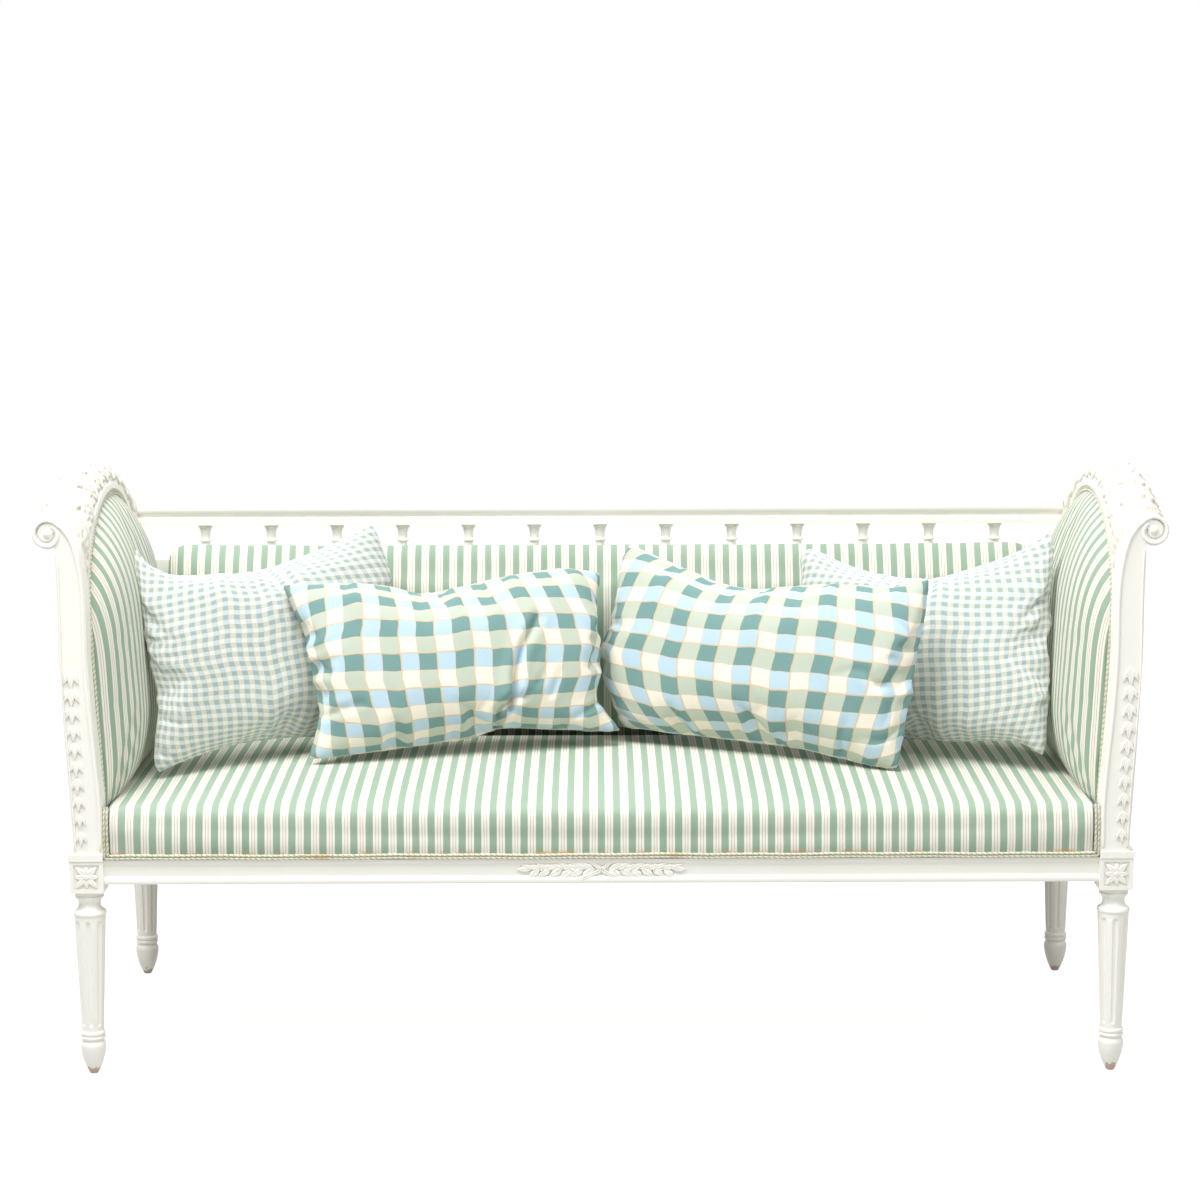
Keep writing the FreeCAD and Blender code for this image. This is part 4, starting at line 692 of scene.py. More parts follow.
def leaf_tree():
    """Sets one carved leaf at every point of a mesh, turned and sized by the point's attributes."""
    tree, web, given = new_tree("set_out_leaves", [
        ("Leaf", "NodeSocketObject", None),
        ("Material", "NodeSocketMaterial", None)])
    leaf = web.node("GeometryNodeObjectInfo", {"Object": given["Leaf"]}).outputs["Geometry"]
    turn = web.node("GeometryNodeInputNamedAttribute", {"Name": "turn"}, data_type="FLOAT_VECTOR").outputs[0]
    size = web.node("GeometryNodeInputNamedAttribute", {"Name": "size"}, data_type="FLOAT_VECTOR").outputs[0]
    attitude = web.node("FunctionNodeEulerToRotation", {0: turn}).outputs[0]
    spread = web.node("GeometryNodeInstanceOnPoints",
                      {"Points": given["Geometry"], "Instance": leaf, "Rotation": attitude,
                       "Scale": size}).outputs[0]
    end_tree(web, spread, given)
    return tree


def grow(name, seed, tree, values):
    """Run a geometry tree on a mesh and keep the result as a plain mesh."""
    modifier = seed.modifiers.new("grow", "NODES")
    modifier.node_group = tree
    for item in tree.interface.items_tree:
        if item.item_type == "SOCKET" and item.in_out == "INPUT" and item.name in values:
            modifier[item.identifier] = values[item.name]
    seed.update_tag()
    shown = seed.evaluated_get(bpy.context.evaluated_depsgraph_get())
    mesh = bpy.data.meshes.new_from_object(shown)
    seed.modifiers.remove(modifier)
    bpy.data.objects.remove(seed)
    mesh.name = name
    piece = bpy.data.objects.new(name, mesh)
    bpy.context.scene.collection.objects.link(piece)
    return piece


def lines_mesh(name, lines):
    """A mesh of bare lines for cords to follow."""
    vertices, edges = [], []
    for line in lines:
        start = len(vertices)
        vertices += [tuple(point) for point in line]
        edges += [(start + index, start + index + 1) for index in range(len(line) - 1)]
    mesh = bpy.data.meshes.new(name)
    mesh.from_pydata(vertices, edges, [])
    seed = bpy.data.objects.new(name, mesh)
    bpy.context.scene.collection.objects.link(seed)
    return seed


def points_mesh(name, places):
    """Points with the turn and size of the leaf that each carries."""
    mesh = bpy.data.meshes.new(name)
    mesh.from_pydata([tuple(place[0]) for place in places], [], [])
    for label, index in (("turn", 1), ("size", 2)):
        layer = mesh.attributes.new(label, "FLOAT_VECTOR", "POINT")
        values = np.array([place[index] for place in places], dtype=np.float32)
        layer.data.foreach_set("vector", values.ravel())
    seed = bpy.data.objects.new(name, mesh)
    bpy.context.scene.collection.objects.link(seed)
    return seed


def leaf_shape(name, lobes, rib, long_faces=14, wide_faces=8):
    """A carved leaf one unit long and wide along +x, one unit high along +z, closed behind."""
    vertices = []
    for step in range(long_faces + 1):
        share = step / long_faces
        half = 0.5 * math.sin(math.pi * min(1.0, max(0.0, share)) ** 0.85) ** 0.75
        half *= 1 - 0.16 * (0.5 - 0.5 * math.cos(2 * math.pi * lobes * share)) if lobes else 1
        half = max(half, 0.012)
        for index in range(wide_faces + 1):
            across = 2 * index / wide_faces - 1
            round_off = math.sqrt(max(0.0, 1 - across * across))
            height = round_off * (0.55 + 0.45 * math.sin(math.pi * share))
            height -= rib * math.exp(-(across / 0.22) ** 2) * math.sin(math.pi * share)
            vertices.append((share, across * half, max(0.0, height)))
    rows, columns = long_faces + 1, wide_faces + 1
    faces = [face[::-1] for face in grid_faces(rows, columns)]
    rim = [index * columns for index in range(rows)]
    far_rim = [index * columns + columns - 1 for index in range(rows)]
    faces += [(rim[i], rim[i + 1], far_rim[i + 1], far_rim[i]) for i in range(rows - 1)]
    return new_piece(name, vertices, faces)


# Frame

class BANQUETTE_OT_paint_frame(bpy.types.Operator):
    """Paint the frame and give the hidden woods, cloths and screws their finishes"""

    bl_idname = "banquette.paint_frame"
    bl_label = "Paint the frame"

    def execute(self, context):
        finishes = {
            "painted_wood": paint_material("cream_paint"),
            "bare_wood": bare_wood_material(),
            "steel": steel_material(),
            "lining_cloth": coarse_cloth_material("lining_cloth", *LINING),
            "webbing": coarse_cloth_material("jute_webbing", (0.72, 0.6, 0.42), (0.5, 0.4, 0.26), 420.0),
            "hessian": coarse_cloth_material("hessian", (0.74, 0.63, 0.46), (0.52, 0.42, 0.28), 500.0),
            "gimp": coarse_cloth_material("gimp_ground", (0.85, 0.86, 0.76), (0.72, 0.78, 0.66), 900.0),
            "stuffing": coarse_cloth_material("wadding", (0.86, 0.82, 0.72), (0.7, 0.64, 0.52), 90.0),
            "pillow_filling": coarse_cloth_material("ticking", (0.93, 0.91, 0.86), (0.84, 0.82, 0.76), 600.0),
        }
        for part in frame["record"]["subparts"]:
            node = frame["nodes"][part["node"]]
            finish = finishes.get(part["material_slot"])
            if finish is None:
                continue
            node.data.materials.clear()
            node.data.materials.append(finish)
        return {"FINISHED"}


# Posts with their raised mouldings

def post_lines(sx):
    """The bead along a front post's inner edge and round the volute, and the fillet on its outer edge."""
    y = -(POST_FACE + 0.6)
    inner = smooth_line([(826.5, 384), (826.5, 450), (831, 520), (837, 585), (842.5, 660), (844.5, 715),
                         (844.5, 785), (846.5, 830), (852, 868)], 60)
    head = smooth_line([(852, 868), (861, 898), (875, 920)], 16)[1:]
    turns = np.linspace(math.radians(140), math.radians(-235), 66)
    shrink = np.linspace(0, 1, len(turns))
    radius = 21.9 - 8.5 * np.clip((shrink - 0.45) / 0.55, 0, 1) ** 1.6
    spiral = np.stack([VOLUTE[0] + radius * np.cos(turns), VOLUTE[1] + radius * np.sin(turns)], axis=1)
    bead = np.vstack([inner, head, spiral])
    bead = resample(bead, 210)
    fillet = smooth_line([(867.5, 384), (867.5, 408), (871.5, 490), (877.5, 580), (882, 660), (882.8, 715),
                          (882.8, 790), (883.5, 850), (885.5, 884)], 90)
    lines = []
    for line in (bead, fillet):
        lines.append([metres(sx * x, y, z) for x, z in line])
    return lines


class BANQUETTE_OT_mould_posts(bpy.types.Operator):
    """Raise the beads, fillets and eyes on the fronts of the arm posts"""

    bl_idname = "banquette.mould_posts"
    bl_label = "Mould the posts"

    def execute(self, context):
        paint = paint_material("cream_paint_mouldings", 0.45)
        for side, sx in SIDES.items():
            bead, fillet = post_lines(sx)
            finish_piece(sweep("post_bead_" + side, [bead], 3.1 * MM, 12, 0.75), paint)
            finish_piece(sweep("post_fillet_" + side, [fillet], 2.0 * MM, 8, 0.8), paint)
            # The eye is a dome that stands out of the volute, in front and behind
            for front, face in ((-1, "front"), (1, "rear")):
                self.eye("volute_eye_%s_%s" % (face, side), sx, front, paint)
        return {"FINISHED"}

    def eye(self, name, sx, front, paint):
        rings, sides = 12, 24
        vertices = []
        for ring in range(rings + 1):
            lift = math.pi / 2 * ring / rings
            for side in range(sides):
                turn = 2 * math.pi * side / sides
                reach = max(0.02, math.cos(lift)) * 7.8
                vertices.append(metres(sx * VOLUTE[0] + reach * math.cos(turn),
                                       front * (POST_FACE - 2.5 + 6.6 * math.sin(lift)),
                                       VOLUTE[1] + reach * math.sin(turn)))
        piece = new_piece(name, vertices, tube_faces(rings + 1, sides))
        finish_piece(piece, paint)


# Crests

def crest_loop(y):
    """One upright section of a crest in (x, z), from its inner foot over the roll to its outer foot."""
    lift = 1 - (y / POST_Y) ** 2
    up, draw = CREST_RISE * lift, CREST_DRAW * lift
    vx, vz, r = VOLUTE[0], VOLUTE[1], VOLUTE_R
    foot = (WAIST_X + 1, CREST_FOOT)
    head = (WAIST_X + 8, HEAD_Z + 7 + up)
    shoulder = (WAIST_X + 20.5 - draw * 0.4, HEAD_Z + 40 + up)
    top = (vx - draw, vz + r + up)
    far = (vx + r * 0.74 - draw * 0.35, vz + r * 0.7 + up)
    tip = (vx + r, vz + up * 0.72)
    under = (vx + r * 0.7, vz - r * 0.7 + up * 0.8)
    low = (vx, vz - r + up * 0.85)
    back = (WAIST_OUT + 2, vz - r * 0.9 + up * 0.85)
    outer = (WAIST_OUT, CREST_FOOT)
    line = np.vstack([np.linspace(foot, head, 60)[:-1], arc(head, shoulder, top, 60)[:-1],
                      arc(top, far, tip, 50)[:-1], arc(tip, under, low, 40)[:-1],
                      np.linspace(low, back, 8)[:-1], np.linspace(back, outer, 60)])
    return line, 59 + 59 + 49


def clear_of_opening(line, y):
    """How far each point of a section stands outside the arched opening for the arm pad."""
    dx = line[:, 0] - PANEL_BASE[0]
    dz = line[:, 1] - PANEL_BASE[1]
    outwards = dx * math.cos(PANEL_LEAN) - dz * math.sin(PANEL_LEAN)
    upwards = dx * math.sin(PANEL_LEAN) + dz * math.cos(PANEL_LEAN)
    top = PANEL_SPRING + PANEL_RISE * math.sqrt(max(0.0, 1 - (y / POST_Y) ** 2))
    return np.maximum(outwards - OPENING_REACH, upwards - top)


def trimmed_section(y, count):
    """A crest's section above the opening, evenly resampled, and where its outermost point lies."""
    line, tip = crest_loop(y)
    clear = clear_of_opening(line, y)
    first = int(np.argmax(clear > 0))
    last = len(clear) - 1 - int(np.argmax(clear[::-1] > 0))
    points = list(line[first:last + 1])
    if first > 0:
        share = clear[first] / (clear[first] - clear[first - 1])
        points.insert(0, line[first] + (line[first - 1] - line[first]) * share)
    if last < len(line) - 1:
        share = clear[last] / (clear[last] - clear[last + 1])
        points.append(line[last] + (line[last + 1] - line[last]) * share)
    points = np.array(points)
    steps = np.concatenate([[0], np.cumsum(np.linalg.norm(np.diff(points, axis=0), axis=1))])
    reach = steps[min(len(steps) - 1, tip - first + (1 if first > 0 else 0))]
    return resample(points, count), steps[-1], reach


def leaf_relief(along, across, length, width, lobes):
    """Height of a carved leaf over the plane, from 0 outside to about 1 on its ribs."""
    share = np.clip(along / length, 0, 1)
    half = width / 2 * np.sin(np.pi * share ** 0.8) ** 0.7
    half = half * (1 - 0.2 * (0.5 - 0.5 * np.cos(2 * np.pi * lobes * share)))
    inside = np.clip(1 - np.abs(across) / np.maximum(half, 1e-6), 0, 1)
    inside = np.where((along > 0) & (along < length), inside, 0)
    body = np.minimum(1.0, inside * 3.2) * (0.62 + 0.38 * np.sin(np.pi * share))
    vein = np.exp(-(across / (0.04 * width)) ** 2)
    side = 0.5 + 0.5 * np.cos(2 * np.pi * (along - 0.9 * np.abs(across)) / (length / lobes))
    return body * (1 - 0.6 * vein) * (0.6 + 0.4 * side ** 0.6)


def crest_relief(reach_share, y):
    """Two rows of leaves that fan out over the roll, leaving a plain border at the trim and posts."""
    usual_reach = 118.0
    pitch = sizes().leaf_pitch / MM
    along = reach_share * usual_reach
    height = np.zeros_like(along)
    count = int(2 * POST_Y / pitch) + 1
    for row, (start, length, width, lobes) in enumerate(((13, 60, 58, 5), (50, 78, 62, 6))):
        for index in range(-count, count + 1):
            middle = (index + 0.5 * (row % 2)) * pitch
            if abs(middle) > POST_Y - 14:
                continue
            fan = 0.34 * middle / POST_Y
            ahead = (along - start) * math.cos(fan) + (y - middle) * math.sin(fan)
            aside = (y - middle) * math.cos(fan) - (along - start) * math.sin(fan)
            relief = leaf_relief(ahead, aside, length, width, lobes)
            height = np.maximum(height, relief * (1.0 if row else 0.85))
    # Small beads between the tips of the first row
    for index in range(-count, count + 1):
        middle = (index + 0.5) * pitch
        far = np.hypot(along - 22, y - middle)
        height = np.maximum(height, 0.8 * np.sqrt(np.clip(1 - (far / 5.5) ** 2, 0, 1)))
    edge = np.clip((POST_Y - 7 - np.abs(y)) / 6, 0, 1)
    return height * edge


class BANQUETTE_OT_carve_crests(bpy.types.Operator):
    """Carve leaves over the arched, rolled crests of the arms"""

    bl_idname = "banquette.carve_crests"
    bl_label = "Carve the crests"

    def execute(self, context):
        paint = paint_material("cream_paint_carving", 0.5, 0.6)
        stations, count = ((300, 150))
        ys = np.linspace(-POST_Y, POST_Y, stations)
        loops, shares = [], []
        for y in ys:
            loop, whole, reach = trimmed_section(y, count)
            loops.append(np.stack([loop[:, 0], np.full(count, y), loop[:, 1]], axis=1))
            shares.append(np.linspace(0, whole, count) / reach)
        grid = np.array(loops)
        shares = np.array(shares)
        ahead = np.gradient(grid, axis=0)
        round_the_roll = np.gradient(grid, axis=1)
        normal = np.cross(ahead, round_the_roll)
        normal /= np.maximum(np.linalg.norm(normal, axis=2), 1e-9)[:, :, None]
        if normal[stations // 2, count // 3, 2] < 0:
            normal = -normal
        relief = crest_relief(shares, grid[:, :, 1])
        fade = np.clip((1.55 - shares) / 0.2, 0, 1)
        depth = sizes().carving_depth / MM
        carved = grid + normal * ((relief - 0.35) * depth * fade * (shares > 0.09))[:, :, None]
        # Glaze and painted shade gather on the steep sides of the leaves and in their veins
        steep = np.hypot(*np.gradient(relief)) * (fade > 0) * (shares > 0.09)
        steep = np.clip(steep / np.percentile(steep, 93), 0, 1) ** 1.5
        for side, sx in SIDES.items():
            points = carved.reshape(-1, 3) * (sx * MM, MM, MM)
            piece = new_piece("carved_crest_" + side, points, tube_faces(stations, count))
            layer = piece.data.attributes.new("carved_edge_glaze_and_shade", "FLOAT", "POINT")
            layer.data.foreach_set("value", steep.ravel().astype(np.float32))
            finish_piece(piece, paint, replaces=["arm_crest_" + side])
        return {"FINISHED"}


# Husks, rosettes and the garland

def upright(angle):
    """The turn that stands a flat carving against a front face, its length at an angle to level."""
    attitude = Matrix.Rotation(-angle, 3, "Y") @ Matrix.Rotation(math.pi / 2, 3, "X")
    return tuple(attitude.to_euler("XYZ"))


def carved(name, places, leaf, paint, replaces=()):
    piece = grow(name, points_mesh(name + "_points", places), leaf_tree(), {"Leaf": leaf, "Material": paint})
    return finish_piece(piece, paint, replaces=replaces)


class BANQUETTE_OT_carve_ornaments(bpy.types.Operator):
    """Carve the rosettes, the husk drops and the garland on the front rail"""

    bl_idname = "banquette.carve_ornaments"
    bl_label = "Carve the ornaments"

    def execute(self, context):
        paint = paint_material("cream_paint_ornament", 0.62)
        petal = leaf_shape("petal_shape", 0, 0.35)
        oak = leaf_shape("oak_shape", 3, 0.3, 18, 8)
        husk = leaf_shape("husk_shape", 2, 0.4, 16, 8)
        ball = leaf_shape("ball_shape", 0, 0.0, 10, 10)
        self.rosettes(petal, paint)
        self.husk_drops(husk, paint)
        self.garland(oak, ball, paint)
        self.ribbon(paint)
        for shape in (petal, oak, husk, ball):
            bpy.data.objects.remove(shape)
        return {"FINISHED"}

    def rosettes(self, petal, paint):
        """A flower of eight petals round a boss on each front block, in a fine raised border."""
        across, up = BLOCK_CENTRE
        petals, borders = [], []
        border = 25
        corners = [(0, border), (border, border), (border, -border), (-border, -border), (-border, border),
                   (0, border)]
        for sx in SIDES.values():
            for index in range(8):
                length = 25 if index % 2 else 19
                petals.append((metres(sx * across, -POST_FACE, up), upright(math.radians(45 * index)),
                               metres(length, 12, 3.6)))
            petals.append((metres(sx * across - 4.6, -POST_FACE - 1.6, up), upright(0),
                           metres(9.2, 9.2, 3.4)))
            borders.append(resample([metres(sx * across + x, -POST_FACE, up + z) for x, z in corners], 81))
        carved("rosettes", petals, petal, paint, ["block_rosettes"])
        finish_piece(sweep("rosette_frames", borders, 1.7 * MM, 8), paint)

    def husk_drops(self, husk, paint):
        """Husks down the posts, each a bud between two side petals, hanging with its tip down."""
        lowest, pitch, foot, lean_out = 416, 30, 857, 1.35
        drops = []
        for sx in SIDES.values():
            for index in range(sizes().husks):
                x = foot + min(10.0, index * lean_out)
                size = 0.82 + 0.03 * index
                for lean, width, length in ((0, 12, 30), (0.5, 9, 25), (-0.5, 9, 25)):
                    drops.append((metres(sx * x, -POST_FACE, lowest + pitch * index),
                                  upright(-math.pi / 2 + lean), metres(length * size, width * size, 3.4)))
        carved("husk_drops", drops, husk, paint, ["post_husks"])

    def garland(self, oak, ball, paint):
        """Leaves that lie over each other along a stem: a smooth row above, a broad waved row below."""
        leaves, berries = [], []
        for sx in SIDES.values():
            for count, pitch, tilt, width in ((9, 12.5, 0.36, 14), (6, 18, -0.56, 19)):
                for index in range(count):
                    start = 12 + pitch * index
                    size = 1 - 0.0016 * start
                    nod = tilt + 0.07 * math.sin(index * 2.3 + tilt)
                    leaves.append((metres(sx * start, RAIL_FACE, GARLAND_Z),
                                   upright(nod if sx > 0 else math.pi - nod),
                                   metres(27 * size, width * size, 4.6)))
            leaves.append((metres(sx * 116, RAIL_FACE, GARLAND_Z), upright(0 if sx > 0 else math.pi),
                           metres(24, 13, 4.4)))
            for index in range(8):
                x = sx * (21 + 13 * index) - 2.2
                berries.append((metres(x, RAIL_FACE - 2.2, GARLAND_Z + 2 * (index % 2) - 1), upright(0),
                                metres(4.4, 4.4, 2.6)))
        carved("rail_garland", leaves, oak, paint, ["front_rail_ornament"])
        carved("rail_berries", berries, ball, paint)

    def ribbon(self, paint):
        """Two double bands that cross, the longer one ending over the rail's lower bead."""
        bands = ([(-23, 16), (-12, 8), (0, -1), (10, -7), (19, -11)],
                 [(21, 16), (11, 8), (0, -1), (-17, -9), (-34, -16)])
        lines = []
        for band in bands:
            for apart in (-1.9, 1.9):
                lines.append([metres(x, RAIL_FACE - 1.4 - 0.25 * max(0, -z - 7), GARLAND_Z + z + apart)
                              for x, z in smooth_line(band, 30)])
        finish_piece(sweep("rail_ribbon", lines, 1.9 * MM), paint)


# Stuffed covers

def seat_height(x, y):
    """Height of the seat's top under the pillows, in metres."""
    share = np.abs(x) / (SEAT_HALF * MM)
    crown = SEAT_CROWN * (1 - 0.8 * share ** 4)
    middle = (SEAT_FRONT + SEAT_BACK) / 2
    half = (SEAT_BACK - SEAT_FRONT) / 2
    across = (y / MM - middle) / half
    return MM * (SEAT_EDGE + crown * np.clip(1 - across ** 2, 0, 1))


class BANQUETTE_OT_cover_seat(bpy.types.Operator):
    """Stretch the striped cloth over the stuffed seat and down to the front rail"""

    bl_idname = "banquette.cover_seat"
    bl_label = "Cover the seat"

    # The cloth's run down the front and back under the stuffing, in (y, z)
    front = [(-334, 450.5), (-339, 447), (-342.6, 442), (-344.6, 435), (-346.2, 426), (-346.6, 417),
             (-345.8, 408), (-344.6, 400), (-344, 392), (-343.6, 384), (-343.2, 376), (-342.8, 369)]
    inside = [(-341.2, 369), (-341.2, 384), (-341, 398), (-200, 401), (0, 401), (200, 401), (300, 401),
              (300, 420), (300, 438)]

    def execute(self, context):
        across, deep = 170, 64
        vertices, uv, held = [], [], []
        xs = np.linspace(-SEAT_HALF, SEAT_HALF, across)
        for column, x in enumerate(xs):
            share = abs(x) / SEAT_HALF
            crown = SEAT_CROWN * (1 - 0.8 * share ** 4) - 2
            ys = np.linspace(SEAT_BACK, SEAT_FRONT, deep)
            middle, half = (SEAT_FRONT + SEAT_BACK) / 2, (SEAT_BACK - SEAT_FRONT) / 2
            top = [(y, SEAT_EDGE + crown * (1 - ((y - middle) / half) ** 2)) for y in ys]
            loop = top + self.front + self.inside
            gone = 0
            for index, (y, z) in enumerate(loop):
                if index:
                    gone += math.hypot(y - loop[index - 1][0], z - loop[index - 1][1])
                vertices.append(metres(x, y, z))
                uv.append(metres(x, gone))
                if index >= len(top + self.front) - 1 or index == 0 or column in (0, across - 1):
                    held.append(len(vertices) - 1)
        faces = tube_faces(across, len(vertices) // across)
        stuff("seat_cushion", vertices, faces, uv, held, 1.2, 4, stripe_material(),
              ["seat_cover", "seat_stuffing"])
        return {"FINISHED"}


class BANQUETTE_OT_cover_back(bpy.types.Operator):
    """Stretch the striped cloth over the back pad"""

    bl_idname = "banquette.cover_back"
    bl_label = "Cover the back"

    def execute(self, context):
        across = 170
        profile = [(302.6, 466), (292, 466), (279, 467), (268, 480), (259, 520), (254.5, 580), (253.2, 640),
                   (254.5, 700), (259, 750), (266, 784), (275, 803), (285, 813), (294, 816.6), (302.6, 814)]
        line = smooth_line(profile[:-1], 46)
        vertices, uv, held = [], [], []
        xs = np.linspace(-1, 1, across)
        xs = np.sign(xs) * (1 - (1 - np.abs(xs)) ** 1.12) * BACK_HALF
        for column, x in enumerate(xs):
            corner = max(0.0, abs(x) - (BACK_HALF - BACK_CORNER))
            top = BACK_TOP - BACK_CORNER + math.sqrt(max(0.0, BACK_CORNER ** 2 - corner ** 2))
            share = abs(x) / BACK_HALF
            full = 0.3 + 0.7 * math.sqrt(max(0.0, 1 - max(0.0, (share - 0.93) / 0.07) ** 2))
            # The edge is pulled down a little at each tack
            top -= 1.3 * (1 - abs(math.sin(x / 41))) * min(1.0, (BACK_HALF - abs(x)) / 60)
            gone = 0
            for index, (y, z) in enumerate(line):
                level = BACK_FOOT + (z - BACK_FOOT) * (top - BACK_FOOT) / (BACK_TOP - BACK_FOOT)
                depth = BACK_PLANE - (BACK_PLANE - y) * full
                if index:
                    gone += math.hypot(y - line[index - 1][0], z - line[index - 1][1])
                vertices.append(metres(x, depth, level))
                uv.append(metres(x, gone))
                if index in (0, len(line) - 1) or column in (0, across - 1):
                    held.append(len(vertices) - 1)
        stuff("back_pad", vertices, tube_faces(across, len(line)), uv, held, 1.2, 5, stripe_material(),
              ["back_cover", "back_stuffing"])
        return {"FINISHED"}


def on_panel(sx, outwards, y, upwards):
    """A point of an arm panel's leaning plane in metres: sx, then local x, y and z in millimetres."""
    x = PANEL_BASE[0] + outwards * math.cos(PANEL_LEAN) + upwards * math.sin(PANEL_LEAN)
    z = PANEL_BASE[1] - outwards * math.sin(PANEL_LEAN) + upwards * math.cos(PANEL_LEAN)
    return metres(sx * x, y, z)


def pad_profile(tau):
    """How full an arm pad is at a share of its height: full from just above the seat."""
    if tau < 0.56:
        return 1 - (1 - tau / 0.56) ** 6
    return 1 - ((tau - 0.56) / 0.44) ** 3.56


class BANQUETTE_OT_cover_arms(bpy.types.Operator):
    """Stretch the striped cloth over the puffed arm pads"""

    bl_idname = "banquette.cover_arms"
    bl_label = "Cover the arms"

    def execute(self, context):
        cloth = stripe_material()
        under_cord, tuck = 8, 24
        half, rise = POST_Y - under_cord, PANEL_RISE - under_cord
        wide, high = 76, 64
        spread = math.pi / 2 * 0.86
        ys = np.sin(np.linspace(-1, 1, wide) * spread) / math.sin(spread) * half * 0.9985
        for side, sx in SIDES.items():
            vertices, uv, held = [], [], []
            across = 0.0
            for column, y in enumerate(ys):
                share = abs(y) / half
                top = PANEL_SPRING + rise * math.sqrt(max(0.0, 1 - share ** 2))
                slope = rise * share / math.sqrt(max(0.02, 1 - share ** 2)) / half
                if column:
                    before = ys[column - 1]
                    across += math.hypot(y - before, self.swell(y, half) - self.swell(before, half))
                for row in range(high):
                    up = row / (high - 1)
                    z = (top + tuck) * (1 - (1 - up) ** 1.15) - tuck
                    near = min(half - abs(y), (top - z) / math.sqrt(1 + slope ** 2))
                    profile = max(0.0, pad_profile((z + tuck) / (top + tuck)))
                    out = PAD_RIM - self.full(y, half) * profile * self.rim(near)
                    vertices.append(on_panel(sx, out, y, z))
                    uv.append(metres(across, z))
                    if row in (0, high - 1) or column in (0, wide - 1):
                        held.append(len(vertices) - 1)
            front = len(vertices)
            for column, y in enumerate(ys):
                share = abs(y) / half
                top = PANEL_SPRING + rise * math.sqrt(max(0.0, 1 - share ** 2))
                for row in (0, high - 1):
                    vertices.append(on_panel(sx, 7.6, y, top if row else -tuck))
                    uv.append((uv[column * high][0], top * MM))
                    held.append(len(vertices) - 1)
            faces = grid_faces(wide, high)
            for column in range(wide - 1):
                low, above = front + 2 * column, front + 2 * column + 1
                faces.append((low, low + 2, above + 2, above))
                faces.append((column * high, (column + 1) * high, low + 2, low))
                faces.append((column * high + high - 1, (column + 1) * high + high - 1, above + 2, above))
            for column in (0, wide - 1):
                corner = (front + 2 * column + 1, front + 2 * column)
                faces.append(tuple(range(column * high, (column + 1) * high)) + corner)
            stuff("arm_pad_" + side, vertices, faces, uv, held, 1.5, 4, cloth,
                  ["arm_cover_" + side, "arm_stuffing_" + side])
        return {"FINISHED"}

    def full(self, y, half):
        """How far the pad swells out of its rim at its fullest height."""
        return PANEL_BULGE * (1.35 - min(1.0, abs(y) / half) ** 5)

    def rim(self, near):
        """The rounding of the pad's edge, by the distance from its outline."""
        return math.sqrt(max(0.0, 1 - (1 - min(1.0, near / 18)) ** 2))

    def swell(self, y, half):
        return self.full(y, half) * self.rim(half - abs(y))


# Flat cloths tacked over the back, the outsides of the arms and the underside

def tacked_sheet(name, columns, place, thick, material, node):
    """A stretched cloth from columns of (across, low, high) in millimetres, drawn with two faces."""
    rows = 24
    vertices, uv = [], []
    for depth in (0, thick):
        for across, low, high in columns:
            for up in np.linspace(low, high, rows):
                vertices.append(place(across, up, depth))
                uv.append(metres(across, up))
    count = len(columns)
    front = grid_faces(count, rows)
    shift = count * rows
    faces = front + [tuple(index + shift for index in face[::-1]) for face in front]
    rim = [(column, 0) for column in range(count)] + [(count - 1, row) for row in range(1, rows)]
    rim += [(column, rows - 1) for column in range(count - 2, -1, -1)]
    rim += [(0, row) for row in range(rows - 2, 0, -1)]
    rim = [column * rows + row for column, row in rim]
    for here, there in zip(rim, rim[1:] + rim[:1]):
        faces.append((here, there, there + shift, here + shift))
    piece = new_piece(name, vertices, faces, uv, smooth=False)
    finish_piece(piece, material, replaces=[node])
    widths, lows, highs = zip(*columns)
    heights = [high - low for low, high in zip(lows, highs)]
    area = sum((b - a) * (p + q) / 2 for a, b, p, q in zip(widths, widths[1:], heights, heights[1:]))
    flat = metres(widths[-1] - widths[0], max(highs) - min(lows))


